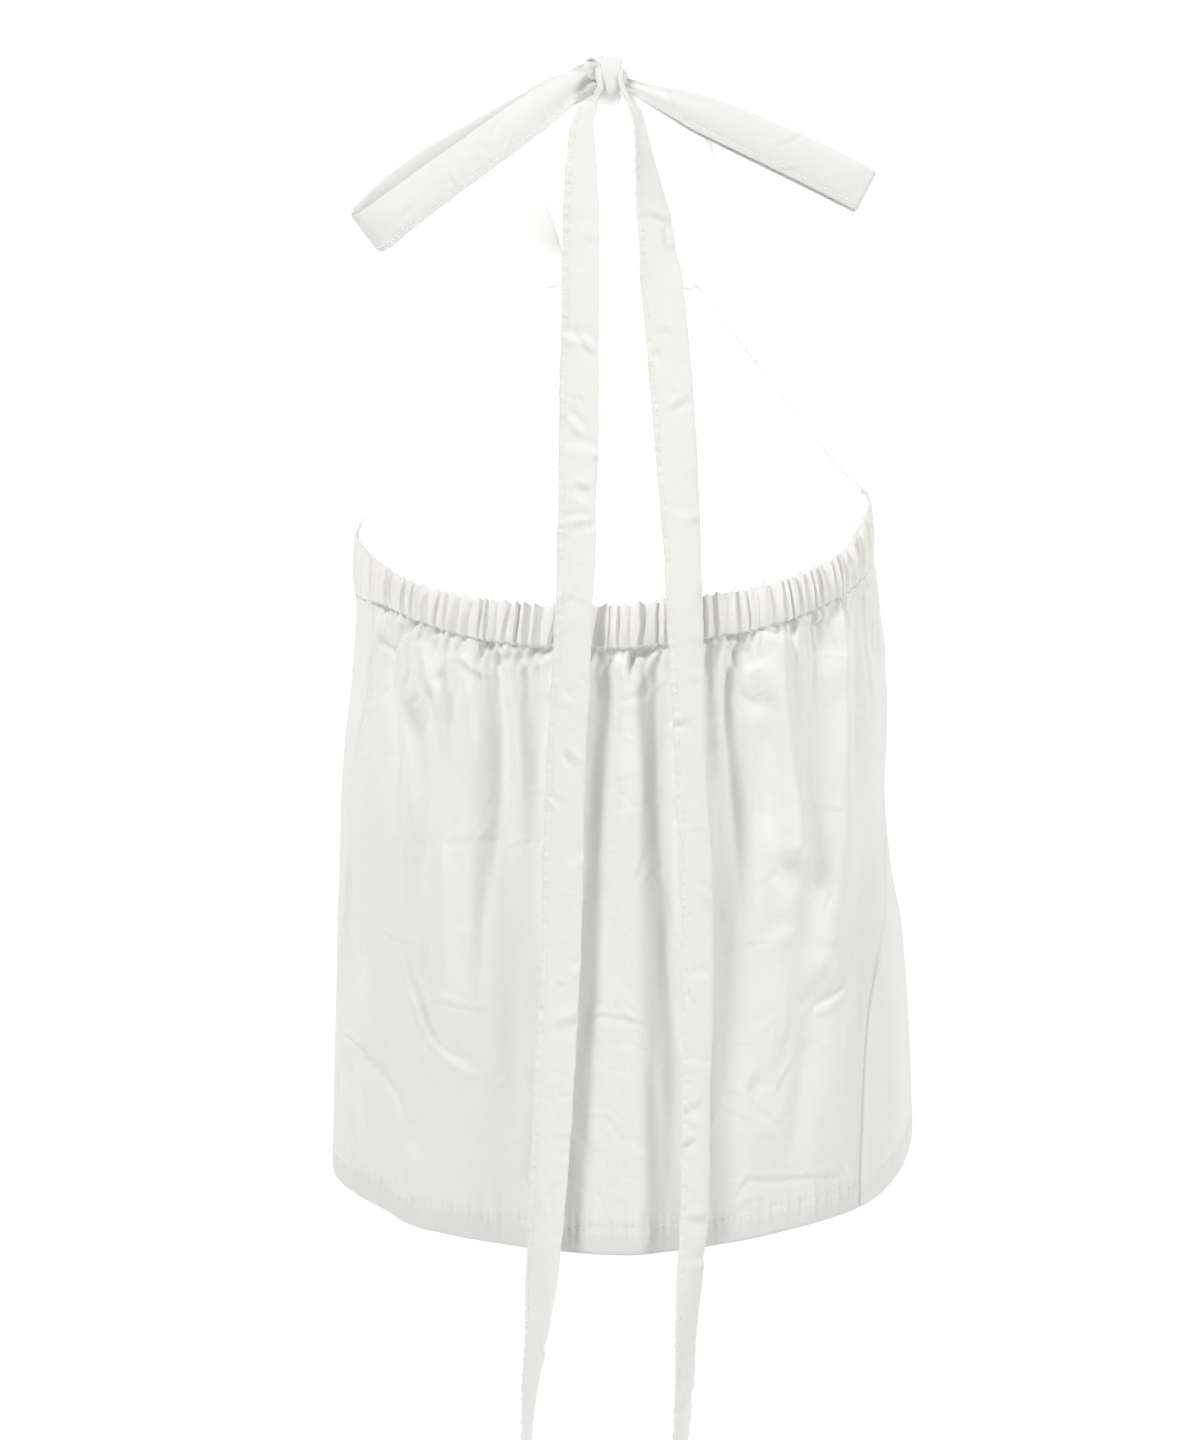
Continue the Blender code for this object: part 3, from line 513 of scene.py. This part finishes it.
def back_relief(angle, z, below):
    """Folds, light creases and gathers of the back. Folds are deeper towards the left."""
    point, _ = body(angle, z)
    places = seen_at(point)
    relief = crease_relief(places, BACK_CREASES) * smooth_step(below / 9.0)
    folds = [fold for row in BACK_FOLDS for fold in long_folds(*row)]
    relief += crease_relief(places, folds) * smooth_step(below / 16.0)
    relief *= 1.2 + smooth_step((LEFT_DEEPER[0] - places[..., 0]) / LEFT_DEEPER[1])
    light = [crease for field in BACK_FIELDS for crease in random_creases(*field)]
    relief += crease_relief(places, light) * smooth_step(below / 30.0)
    return relief + gather_relief(angle, below)


def front_relief(angle, z):
    total = np.zeros(z.shape)
    for a_start, z_start, a_end, z_end, half, height in FRONT_FOLDS:
        t = (z_start - z) / (z_start - z_end)
        sway = 1.2 * np.sin(z / 46.0 + a_start)
        away = (angle - a_start - (a_end - a_start) * t - sway) / (half * 1.05)
        shape = ridge(away) if height > 0 else groove(away)
        total += height * shape * smooth_step(t / 0.3 + 0.02) * (t > 0)
    places = np.stack([angle * FRONT_DEGREE, -z], -1)
    return total + crease_relief(places, random_creases(*FRONT_FIELD), 1.0)


def circle(count):
    return np.linspace(0, 2 * np.pi, count, endpoint=False)


def grid_faces(rows, columns, first=0, closed=False):
    faces = []
    for i in range(rows - 1):
        for k in range(columns if closed else columns - 1):
            a = first + i * columns + k
            b = first + i * columns + (k + 1) % columns
            faces.append((a, a + columns, b + columns, b))
    return faces


def add_object(name, data):
    thing = bpy.data.objects.new(name, data)
    bpy.context.scene.collection.objects.link(thing)
    return thing


def piece(name, points, faces, material, slot, *nodes):
    """Mesh object from points in millimetres that rides on the root body and stands for the CAD nodes."""
    mesh = bpy.data.meshes.new(name)
    mesh.from_pydata((np.asarray(points, float).reshape(-1, 3) * MM).tolist(), [], faces)
    mesh.materials.append(material)
    mesh.shade_smooth()
    thing = add_object(name, mesh)
    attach(thing, ROOT)
    if nodes:
        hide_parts(*nodes)
    return thing


# Materials

def set_inputs(made, **values):
    """Set inputs of a node by name, with _ for a space."""
    for key, value in values.items():
        made.inputs[key.replace("_", " ")].default_value = value


def node(tree, kind, settings=None, **values):
    """New node with its settings and the values of its inputs."""
    made = tree.nodes.new(kind)
    for key, value in (settings or {}).items():
        setattr(made, key, value)
    set_inputs(made, **values)
    return made


def new_material(name):
    """Material, its node tree, its shader and the object's own coordinates."""
    material = bpy.data.materials.new(name)
    material.use_nodes = True
    tree = material.node_tree
    place = node(tree, "ShaderNodeTexCoord")
    return material, tree, tree.nodes["Principled BSDF"], place.outputs["Object"]


def bands(tree, place, direction, **values):
    texture = node(tree, "ShaderNodeTexWave", {"wave_type": "BANDS", "bands_direction": direction}, **values)
    tree.links.new(place, texture.inputs["Vector"])
    return texture.outputs["Fac"]


def noise(tree, place, **values):
    texture = node(tree, "ShaderNodeTexNoise", **values)
    tree.links.new(place, texture.inputs["Vector"])
    return texture.outputs["Fac"]


def bump(tree, height, **values):
    made = node(tree, "ShaderNodeBump", **values)
    tree.links.new(height, made.inputs["Height"])
    return made


def mix_to_surface(tree, first, second):
    """Mix of two shaders on the surface. Returns the input for its share."""
    mix = node(tree, "ShaderNodeMixShader")
    tree.links.new(first, mix.inputs[1])
    tree.links.new(second, mix.inputs[2])
    tree.links.new(mix.outputs["Shader"], tree.nodes["Material Output"].inputs["Surface"])
    return mix.inputs["Fac"]


def poplin_normal(tree, place, crumple):
    """Normal of fine weave under light crumpling."""
    weave = node(tree, "ShaderNodeMath", {"operation": "ADD"})
    tree.links.new(bands(tree, place, "Z", Scale=640.0, Distortion=0.6), weave.inputs[0])
    tree.links.new(bands(tree, place, "X", Scale=780.0, Distortion=0.6), weave.inputs[1])
    fine = bump(tree, weave.outputs["Value"], Strength=0.12, Distance=0.00006)
    folds = noise(tree, place, Scale=75.0, Detail=2.5, Roughness=0.5, Distortion=0.8)
    coarse = bump(tree, folds, Strength=crumple, Distance=0.0011)
    tree.links.new(fine.outputs["Normal"], coarse.inputs["Normal"])
    return coarse.outputs["Normal"]


def poplin(name, colour, through, crumple):
    """Cotton poplin that lets some light through. At crumple 0 it has no weave, which would speckle."""
    material, tree, shader, place = new_material(name)
    tone = node(tree, "ShaderNodeValToRGB")
    dark, light = tone.color_ramp.elements
    dark.position, light.position = 0.3, 0.7
    dark.color = (*[c * 0.975 for c in colour], 1)
    light.color = (*colour, 1)
    tree.links.new(noise(tree, place, Scale=900.0, Detail=3.0), tone.inputs["Fac"])
    tree.links.new(tone.outputs["Color"], shader.inputs["Base Color"])
    set_inputs(shader, Roughness=0.85, Specular_IOR_Level=0.25, Sheen_Weight=0.12, Sheen_Roughness=0.5)
    if crumple:
        tree.links.new(poplin_normal(tree, place, crumple), shader.inputs["Normal"])
    glow = node(tree, "ShaderNodeBsdfTranslucent")
    tree.links.new(tone.outputs["Color"], glow.inputs["Color"])
    mix_to_surface(tree, shader.outputs["BSDF"], glow.outputs["BSDF"]).default_value = through
    return material


def thread(name, colour):
    """Twisted cotton sewing thread."""
    material, tree, shader, place = new_material(name)
    twist = bump(tree, bands(tree, place, "DIAGONAL", Scale=900.0), Strength=0.3, Distance=0.00005)
    tree.links.new(twist.outputs["Normal"], shader.inputs["Normal"])
    set_inputs(shader, Base_Color=(*colour, 1), Roughness=0.6)
    return material


BODY_CLOTH = poplin("poplin_body", (0.86, 0.862, 0.842), 0.12, 0.85)
# The casing is the same poplin as the body. Its colour is painted lighter than the body's: painted light on
# the ruched band.
CASING_CLOTH_PAINTED_LIGHTER = poplin("poplin_casing_painted_lighter", (0.965, 0.96, 0.932), 0.10, 0.35)
FRONT_CLOTH = poplin("poplin_front", (0.87, 0.872, 0.855), 0.04, 0.7)
# The ties, knot and neck straps are the same poplin as the body. Their colour is painted lighter than the
# body's: painted light for ties that hang in front of the back and catch more light.
TIE_CLOTH_PAINTED_LIGHTER = poplin("poplin_tie_painted_lighter", (0.94, 0.94, 0.917), 0.12, 0.0)
THREAD = thread("thread", (0.97, 0.97, 0.96))


# Body of the top

def panel_grid(shares, drops, top_at, left_at, right_at):
    """Angle and height of each node. Shares run from seam to seam, and drops from the top to the hem."""
    share, drop = np.meshgrid(shares, drops)
    z = np.full(share.shape, -450.0)
    angle = np.zeros(share.shape)
    for _ in range(9):
        angle = left_at(z) + (right_at(z) - left_at(z)) * share
        z = top_at(angle) + (hem_at(wrapped(angle)) - top_at(angle)) * drop
    return angle, z


def stitch_dip(distance, half=1.3, depth=0.45):
    return -depth * ridge(distance / half)


def side_dip(arc):
    """The panels dip where they meet at a side seam."""
    return -1.1 * ridge(arc / 1.6)


def hem_relief(angle, to_hem, dip, pucker, doubled, seed):
    """Dip of the stitches (half width, depth), puckers (height, reach) and the doubled cloth below them."""
    from_stitch = to_hem - HEM_WIDTH
    puckers = waves(angle * HEM_DEGREE, seed, 6.0) * pucker[0] * ridge(from_stitch / pucker[1])
    return stitch_dip(from_stitch, *dip) + puckers + doubled * (from_stitch < 0)


def hem_rows(angle, z, relief):
    """The turned-up hem: round the lower edge and up inside to the line of stitches."""
    turn = [(0.55, 0.45), (0.75, 1.0), (0.45, 1.35), (-1.2, 1.35)]
    turn += [(-HEM_WIDTH * k / 6, 1.3) for k in range(1, 7)]
    rows = []
    for down, inward in turn:
        spot, side = body(angle[-1], z[-1] - down)
        rows.append(spot + side * (relief[-1][:, None] - inward))
    return rows


def with_sides(rows):
    """Rows of points with one more column at each side, turned in towards the axis of the body."""
    sides = []
    for column in (0, -1):
        edge = rows[:, column]
        centre = np.stack([np.zeros(len(edge)), np.full(len(edge), AXIS_Y), edge[:, 2]], -1)
        sides.append((edge + unit(centre - edge) * SIDE_TURN)[:, None])
    return np.concatenate([sides[0], rows, sides[1]], 1)


def hem_line(points, outs, above):
    """Line of the hem's stitches across rows of points, from top to bottom, and its outward directions."""
    i = np.argmax(above < HEM_WIDTH, axis=0)
    k = np.arange(points.shape[1])
    t = ((above[i - 1, k] - HEM_WIDTH) / (above[i - 1, k] - above[i, k]))[:, None]
    return points[i - 1, k] * (1 - t) + points[i, k] * t, outs[i, k]


def make_back_panel():
    """Gathered back. Its top row is tucked up behind the casing."""
    shares = np.linspace(0.0, 1.0, BACK_COLUMNS)
    drops = np.linspace(0.0, 1.0, BACK_ROWS) ** 1.25
    angle, z = panel_grid(shares, drops, lambda a: band_bottom_at(a) - SEAM_GAP,
                          lambda h: seam_left_at(h) + SIDE_GAP, lambda h: seam_right_at(h) - SIDE_GAP)
    arc = np.minimum(shares, 1 - shares) * BACK_ARC
    relief = back_relief(angle, z, band_bottom_at(angle) - z) * smooth_step(arc / 7.0) + side_dip(arc)
    to_hem = z - hem_at(angle)
    relief += hem_relief(angle, to_hem, (1.5, 0.8), (0.8, 7.0), 0.6, 31)
    point, out = body(angle, z)
    shell = point + out * relief[..., None]
    tuck_point, tuck_out = body(angle[0], z[0] + TUCK)
    tucked = tuck_point + tuck_out * np.minimum(relief[0] * 0.3, -0.9)[:, None]
    rows = with_sides(np.array([tucked, *shell, *hem_rows(angle, z, relief)]))
    thing = piece("back_panel_cloth", rows, grid_faces(*rows.shape[:2]), BODY_CLOTH, "poplin", "back_panel")
    stitches = make_stitches("back_hem_stitches", "poplin", *hem_line(shell, out, to_hem))


def front_edge_at(angle):
    """Height of the line where the front's body begins: under the casing, and round the bust."""
    back_angle = wrapped(angle)
    under_casing = (back_angle > CASING_LEFT - 1.5) & (back_angle < BUST[0][0])
    bust = bust_at(np.minimum(angle, BUST[-1][0]))
    return np.where(under_casing, band_bottom_at(back_angle), bust) - SEAM_GAP


def bib_rows(angle, edge, seam_relief):
    """Rows of the front above that line: the turned-in upper edge, then down to the line."""
    low, top = front_edge_at(angle), front_top_at(angle)
    z = low + (top - low) * np.linspace(1.0, 0.0, BIB_ROWS)[:, None]
    angles = np.broadcast_to(angle, z.shape)
    relief = front_relief(angles, z) * edge
    relief[-1] = seam_relief
    relief += stitch_dip(top - z - BIB_EDGE, 1.0, 0.2)
    turned = []
    for down, inward in ((BIB_EDGE, 0.7), (2.0, 0.75), (0.2, 0.75), (-0.3, 0.55), (-0.35, 0.25)):
        spot, side = body(angle, np.maximum(top - down, low + 1.0))
        turned.append(spot + side * (relief[0] - inward)[:, None])
    point, out = body(angles, z)
    return np.array([*turned, *(point + out * relief[..., None])])


def make_front_panel():
    """Front, in two fields of rows: the body from seam to seam, and the bib, which ends at the casing."""
    start = seam_right_at(SEAM_TOP) + SIDE_GAP
    end = seam_left_at(SEAM_TOP) + 360.0 - SIDE_GAP
    bib_share = (BIB_END - start) / (end - start)
    bib_shares = np.linspace(0, bib_share, BIB_COLUMNS)
    shares = np.concatenate([bib_shares, np.linspace(bib_share, 1, ARM_COLUMNS)[1:]])
    angle, z = panel_grid(shares, np.linspace(0, 1, FRONT_ROWS), front_edge_at,
                          lambda h: seam_right_at(h) + SIDE_GAP, lambda h: seam_left_at(h) + 360.0 - SIDE_GAP)
    arc = np.minimum(shares, 1 - shares) * FRONT_ARC
    edge = smooth_step(arc / 9.0)
    to_hem = z - hem_at(wrapped(angle))
    relief = front_relief(angle, z) * edge + side_dip(arc)
    relief += hem_relief(angle, to_hem, (1.3, 0.45), (0.3, 9.0), 0.45, 33)
    point, out = body(angle, z)
    shell = point + out * relief[..., None]
    lower = with_sides(np.array([*shell, *hem_rows(angle, z, relief)]))
    count = len(bib_shares)
    upper = bib_rows(start + (end - start) * bib_shares, edge[:count], relief[0, :count])
    rows, columns = upper.shape[:2]
    points = np.concatenate([upper.reshape(-1, 3), lower.reshape(-1, 3)])
    faces = grid_faces(rows, columns) + grid_faces(*lower.shape[:2], rows * columns)
    thing = piece("front_panel_cloth", points, faces, FRONT_CLOTH, "poplin", "front_panel")
    stitches = make_stitches("front_hem_stitches", "poplin", *hem_line(shell, out, to_hem))


def casing_row(angle, base_phase, share):
    """One row of the casing's outer face: points and outward directions at a share of its depth."""
    lean = 0.5 * np.cos(np.radians(angle) * 1.1 + 0.9)
    phase = base_phase + lean * (share - 0.5) + 0.1 * waves(base_phase + share * 2.0, 17, 2.3)
    which = np.floor(phase)
    t = phase - which
    size = 0.74 + 0.26 * np.sin(which * 2.1 + 1.0)
    crest = 0.55 + 0.3 * np.sin(which * 1.7)
    tip = np.where(t < crest, t / crest, (1 - t) / (1 - crest)) ** 1.15
    leaf = math.sin(math.pi * min(1.0, 0.22 + share * 0.76)) ** 0.8
    crown = 0.5 + 1.6 * math.sin(math.pi * share) ** 0.6
    proud = crown + (tip - 0.28) * 4.6 * size * (0.25 + 0.75 * leaf)
    hug = 1.0 - 0.6 * smooth_step((np.abs(angle) - 55.0) / 30.0)
    scallop = (tip - 0.4) * 4.4 * size * max(0.0, 1 - share * 3.0)
    pull = -(tip - 0.5) * 1.2 * max(0.0, share * 4.0 - 3.0)
    top, bottom = band_top_at(angle), band_bottom_at(angle)
    point, out = body(angle, top + (bottom - top) * share + scallop + pull)
    return point + out * (proud * hug)[:, None], out


def make_casing():
    """Ruched casing: a closed band with puffed leaves outside and a plainer inner face."""
    columns = RUCHES * RUCHE_COLUMNS + 1
    angle = CASING_LEFT + (CASING_RIGHT - CASING_LEFT) * np.linspace(0, 1, columns)
    base_phase = ruche_phase(angle)
    outer = [casing_row(angle, base_phase, share) for share in np.linspace(0.0, 1.0, OUTER_ROWS)]
    top, bottom = band_top_at(angle), band_bottom_at(angle)
    swell = 0.7 * puff(base_phase + 0.5, 1.5)
    inner_rows = []
    for share in np.linspace(1.0, 0.0, INNER_ROWS):
        point, out = body(angle, top + (bottom - top) * (0.02 + 0.96 * share))
        inner_rows.append(point - out * (0.7 + swell * math.sin(math.pi * share))[:, None])
    rings = np.array([row for row, _ in outer] + inner_rows)
    ring = len(rings)
    faces = [(a, d, c, b) for a, b, c, d in grid_faces(columns, ring, closed=True)]
    faces.append(tuple(reversed(range(ring))))
    faces.append(tuple((columns - 1) * ring + j for j in range(ring)))
    thing = piece("back_casing_cloth", rings.transpose(1, 0, 2), faces, CASING_CLOTH_PAINTED_LIGHTER, "casing", "back_casing")
    seam_out = outer[-1][1]
    stitches = make_stitches("back_casing_stitches", "casing", outer[-2][0] + seam_out * 0.1, seam_out)


# Ties

def tube(rows, first=0):
    """Faces of a closed tube through rings of points, with both ends shut."""
    count, ring = rows.shape[:2]
    faces = [tuple(reversed(face)) for face in grid_faces(count, ring, first, closed=True)]
    faces.append(tuple(first + j for j in range(ring)))
    faces.append(tuple(reversed([first + (count - 1) * ring + j for j in range(ring)])))
    return faces


def strap_rings(middle, across, out, half, relief, thick=STRAP_THICK):
    """Rings of a flat folded strap: front face, round edges and back face about a line of sections."""
    share = np.cos(np.linspace(0.0, np.pi, 25))[None, :]
    bulge = (np.sqrt(np.clip(1 - share ** 8, 0.0, 1.0)) * thick / 2)[..., None]
    across, out = across[:, None], out[:, None]
    flat = middle[:, None] + across * (half[:, None] * share)[..., None] + out * relief(share)[..., None]
    return np.concatenate([flat + out * bulge, (flat - out * bulge)[:, -2:0:-1]], 1)


def strap_line(middle, across, out, half, relief, side):
    """Line of the edge stitches on a strap's face on that side, and the outward directions."""
    share = side * (1 - EDGE_STITCH / half)
    lift = relief(share[:, None])[:, 0] + STRAP_THICK / 2
    return middle + across * (half * share)[:, None] + out * lift[:, None], out


def strap_creases(share, half, lengths, creases):
    """Height of a strap's creases, which are placed across it from its middle and along it."""
    across_way = share * half[:, None]
    along_way = np.broadcast_to(lengths[:, None], across_way.shape)
    return crease_relief(np.stack([across_way, along_way], -1), creases, 1.0)


def make_strap(node_name, sections):
    rings = strap_rings(*sections)
    return piece(f"{node_name}_cloth", rings, tube(rings), TIE_CLOTH_PAINTED_LIGHTER, "tie", node_name)


def line_lengths(points):
    """Length along a line up to each of its points."""
    return np.concatenate([[0.0], np.cumsum(np.linalg.norm(np.diff(points, axis=0), axis=1))])


def values_at(spots, lengths, values):
    return np.stack([np.interp(spots, lengths, values[:, k]) for k in range(3)], -1)


def make_stitches(name, slot, line, outs):
    """Row of topstitching along a line of points on the cloth, with the outward directions there."""
    lengths = line_lengths(line)
    spots = np.arange(STITCH_PITCH, lengths[-1] - STITCH_PITCH, STITCH_PITCH)
    centre = values_at(spots, lengths, line)
    up = unit(values_at(spots, lengths, outs))
    way = unit(values_at(spots + 0.6, lengths, line) - centre)
    side = np.cross(way, up)
    around, rings = 6, ((-1.0, 0.3), (-0.7, 0.85), (0.0, 1.0), (0.7, 0.85), (1.0, 0.3))
    turn = circle(around)
    points, faces = [], []
    for i in range(len(spots)):
        rows = []
        for t, size in rings:
            lift = STITCH_RADIUS * (1 - 1.1 * t * t)
            middle = centre[i] + way[i] * (t * STITCH_PITCH * 0.37) + up[i] * lift
            spokes = side[i] * np.cos(turn)[:, None] + up[i] * np.sin(turn)[:, None]
            rows.append(middle + spokes * STITCH_RADIUS * size)
        faces += tube(np.array(rows), len(points) * around)
        points += rows
    return piece(name, np.array(points), faces, THREAD, slot)


def edge_stitches(node_name, sections, side):
    return make_stitches(f"{node_name}_stitches", "tie", *strap_line(*sections, side))


def make_tail(node_name, table, seed):
    """Free end of the tie, hanging from the knot."""
    low, high = min(row[0] for row in table), max(row[0] for row in table)
    z = np.linspace(high, low, int((high - low) / STRAP_STEP))
    x, y, half, turn = (curve(table, k)(z) for k in (1, 2, 3, 4))
    swing = np.radians(turn)
    across = np.stack([np.cos(swing), np.sin(swing), np.zeros(len(z))], -1)
    out = np.stack([np.sin(swing), -np.cos(swing), np.zeros(len(z))], -1)
    half = half + 0.22 * waves(z, seed, 31.0) + 0.12 * waves(z, seed + 1, 7.0)
    creases = random_creases(seed + 2, 90, (-16, 0), (10, high - low), 20, 1.5, 0.7, 0.8)
    creases += random_creases(seed + 3, 40, (-16, 0), (10, high - low), 26, 3.4, 1.6, 0.7)
    pucker = waves(z, seed + 4, 4.6)

    def relief(share):
        lift = 0.8 * (1 - share * share) * half[:, None] / 12.0
        lift = lift + strap_creases(share, half, high - z, creases)
        from_edge = (1 + share) * half[:, None]
        lift += 0.5 * pucker[:, None] * ridge(from_edge / 3.4)
        return lift + stitch_dip(from_edge - EDGE_STITCH, 0.9, 0.45)

    sections = (np.stack([x, y, z], -1), across, out, half, relief)
    thing = make_strap(node_name, sections)
    stitches = edge_stitches(node_name, sections, -1.0)


def through_points(points, step):
    """Smooth line through points at about an even step, and the lengths along it."""
    points = np.asarray(points, float)
    lengths = line_lengths(points[:, :3])
    spots = np.linspace(0, lengths[-1], max(8, int(lengths[-1] / step)))
    table = np.column_stack([lengths, points]).tolist()
    return np.stack([curve(table, k + 1)(spots) for k in range(points.shape[1])], -1), spots


def directions(middle, hint):
    """Direction along a line of points, and the hint made square to it."""
    along = unit(np.gradient(middle, axis=0))
    return along, unit(hint - along * np.sum(hint * along, -1, keepdims=True))


def make_loop(node_name, table, widen, seed):
    """Loop of the bow: out from the knot along its front, round a bend, and back behind."""
    rows = np.array(table, float)
    x, z, half, y_front, y_back, rise = rows.T
    side = 1.0 if x[-1] > 0 else -1.0
    half = half + widen * np.exp(-np.abs(x) / 22.0)
    level = np.zeros(len(rows))
    way = unit(np.stack([np.gradient(x), level, np.gradient(z)], -1))
    up = np.stack([-way[:, 2], level, way[:, 0]], -1) * side
    front = np.stack([x, y_front, z], -1)
    back = np.stack([x, y_back, z], -1) + up * rise[:, None]
    centre, radius = (front[-1] + back[-1]) / 2, (back[-1][1] - front[-1][1]) / 2
    bend = []
    for step in range(1, 6):
        turn = math.pi * step / 6
        spot = centre + way[-1] * radius * math.sin(turn) * 1.15 + (front[-1] - centre) * math.cos(turn)
        bend.append([*spot, *up[-1], half[-1]])
    before, behind = np.column_stack([front, up, half]), np.column_stack([back, up, half])[::-1]
    fine, spots = through_points(np.concatenate([before, bend, behind]), STRAP_STEP)
    middle, across, half = fine[:, :3], unit(fine[:, 3:6]) * side, fine[:, 6]
    out = unit(np.cross(unit(np.gradient(middle, axis=0)), across))
    length = spots[-1]
    creases = random_creases(seed, 46, (-14, 0), (8, length), 24, 1.8, 0.8, 0.9)
    knot_side = np.minimum(spots, length - spots)
    calm = smooth_step((np.abs(spots - length / 2) - 4.0) / 14.0)[:, None]

    def relief(share):
        lift = strap_creases(share, half, spots, creases) * calm
        pinch = np.exp(-knot_side / 30.0)[:, None]
        lift += 1.9 * pinch * np.cos(share * 4.6 + 0.6) + 1.3 * (1 - share * share) * calm
        from_edge = (1 + share * side) * half[:, None]
        lift += 0.35 * np.sin(spots * 1.3)[:, None] * ridge(from_edge / 3.2) * calm
        return lift + stitch_dip(from_edge - EDGE_STITCH, 0.9, 0.4) * calm

    sections = (middle, across, out, half, relief)
    thing = make_strap(node_name, sections)
    stitches = edge_stitches(node_name, sections, -side)


def make_neck_strap(node_name, side, seed):
    """Stretch of the tie from the front's upper corner round the neck to the knot."""
    rows = np.array(NECK, float)
    rows[:, [0, 3]] *= side
    fine, spots = through_points(rows, STRAP_STEP)
    middle, half = fine[:, :3], fine[:, 6]
    along, out = directions(middle, fine[:, 3:6])
    creases = random_creases(seed, 24, (-14, 0), (8, spots[-1]), 20, 1.7, 0.5, 0.9)

    def relief(share):
        return strap_creases(share, half, spots, creases) + 0.4 * (1 - share * share)

    thing = make_strap(node_name, (middle, np.cross(out, along), out, half, relief))


def pillow(centre, radii, ridges, seed):
    """Rings of a rounded bundle of cloth with slanting ridges."""
    tilt = np.linspace(0.03, math.pi - 0.03, 48)[:, None]
    turn = circle(72)[None, :]
    wrap = 1.0 + ridges * np.sin(6 * tilt + turn + seed) * np.sin(tilt)
    wrap = wrap + ridges / 2 * np.sin(13 * tilt + 2 * turn)
    x = centre[0] + radii[0] * np.sin(tilt) * np.cos(turn) * wrap
    y = centre[1] + radii[1] * np.sin(tilt) * np.sin(turn) * wrap
    z = centre[2] + radii[2] * np.cos(tilt) * np.ones_like(turn)
    return np.stack([x, y, z], -1)


def make_knot():
    """Knot: a bundle of cloth with the strap over it, a curl of it at one side, and two folded edges."""
    shells = [pillow(*row) for row in KNOT_PILLOWS]
    for points, hint, seed in KNOT_STRAPS:
        fine, spots = through_points(points, KNOT_STEP)
        middle, half = fine[:, :3], fine[:, 3]
        along, across = directions(middle, np.array(hint))

        def relief(share, half=half, spots=spots, seed=seed):
            fold = 0.025 * half[:, None] * np.cos(share * 6.2 + 1.2 * np.sin(spots / 9.0 + seed)[:, None])
            return fold + 0.14 * half[:, None] * (1 - share * share)

        shells.append(strap_rings(middle, across, np.cross(along, across), half, relief, KNOT_THICK))
    points, faces = [], []
    for rings in shells:
        faces += tube(rings, len(points))
        points += rings.reshape(-1, 3).tolist()
    piece("knot_wrap", points, faces, TIE_CLOTH_PAINTED_LIGHTER, "tie", "knot")


# Stage

def make_world():
    """Even soft light all round, and a white background for the camera."""
    world = bpy.data.worlds.new("studio")
    bpy.context.scene.world = world
    world.use_nodes = True
    tree = world.node_tree
    ground = tree.nodes["Background"]
    seen = node(tree, "ShaderNodeLightPath")
    pick = node(tree, "ShaderNodeMix", {"data_type": "FLOAT"})
    tree.links.new(seen.outputs["Is Camera Ray"], pick.inputs[0])
    pick.inputs[2].default_value = FILL
    pick.inputs[3].default_value = WHITE
    set_inputs(ground, Color=(1.0, 1.0, 1.0, 1.0))
    tree.links.new(pick.outputs[0], ground.inputs["Strength"])


def add_light(name, place, aim, size, power, colour, spread):
    data = bpy.data.lights.new(name, "AREA")
    data.shape = "DISK"
    data.size = size
    data.energy = power
    data.spread = math.radians(spread)
    data.color = colour
    lamp = add_object(name, data)
    lamp.location = place
    lamp.visible_camera = False
    way = Vector(aim) - Vector(place)
    lamp.rotation_euler = way.to_track_quat("-Z", "Y").to_euler()


def make_floor():
    """Pale studio floor under the top: soft shade near it, plain white further out."""
    around, centre_y = 72, AXIS_Y * MM
    points = [(0.0, centre_y, FLOOR_Z)]
    points += [(FLOOR_RADIUS * math.cos(a), centre_y + FLOOR_RADIUS * math.sin(a), FLOOR_Z)
               for a in circle(around)]
    faces = [(0, 1 + k, 1 + (k + 1) % around) for k in range(around)]
    mesh = bpy.data.meshes.new("floor")
    mesh.from_pydata(points, [], faces)
    material, tree, shader, place = new_material("floor")
    set_inputs(shader, Base_Color=(0.93, 0.93, 0.93, 1), Roughness=0.9)
    glow = node(tree, "ShaderNodeEmission", Strength=WHITE)
    away = node(tree, "ShaderNodeVectorMath", {"operation": "DISTANCE"})
    tree.links.new(place, away.inputs[0])
    away.inputs[1].default_value = SHADE_CENTRE
    fade = node(tree, "ShaderNodeMapRange", From_Min=SHADE_REACH[0], From_Max=SHADE_REACH[1])
    tree.links.new(away.outputs["Value"], fade.inputs["Value"])
    share = mix_to_surface(tree, shader.outputs["BSDF"], glow.outputs["Emission"])
    tree.links.new(fade.outputs["Result"], share)
    mesh.materials.append(material)
    add_object("floor", mesh)


def make_camera():
    data = bpy.data.cameras.new("camera")
    data.sensor_fit = "HORIZONTAL"
    data.sensor_width = SENSOR
    data.lens = SENSOR * FOCUS_DEPTH / (PICTURE[0] * PICTURE_SCALE)
    camera = add_object("camera", data)
    camera.location = [c * MM for c in EYE]
    camera.rotation_euler = (math.radians(90), 0.0, 0.0)
    bpy.context.scene.camera = camera


make_back_panel()
make_front_panel()
make_casing()
make_knot()
make_tail("tie_tail_left", TAIL_LEFT, 41)
make_tail("tie_tail_right", TAIL_RIGHT, 51)
make_loop("bow_loop_left", LOOP_LEFT, 6.5, 61)
make_loop("bow_loop_right", LOOP_RIGHT, 1.6, 62)
make_neck_strap("neck_strap_left", -1.0, 71)
make_neck_strap("neck_strap_right", 1.0, 72)
make_floor()
make_world()
for row in LAMPS:
    add_light(*row)
make_camera()
bpy.context.scene.view_settings.view_transform = "Standard"
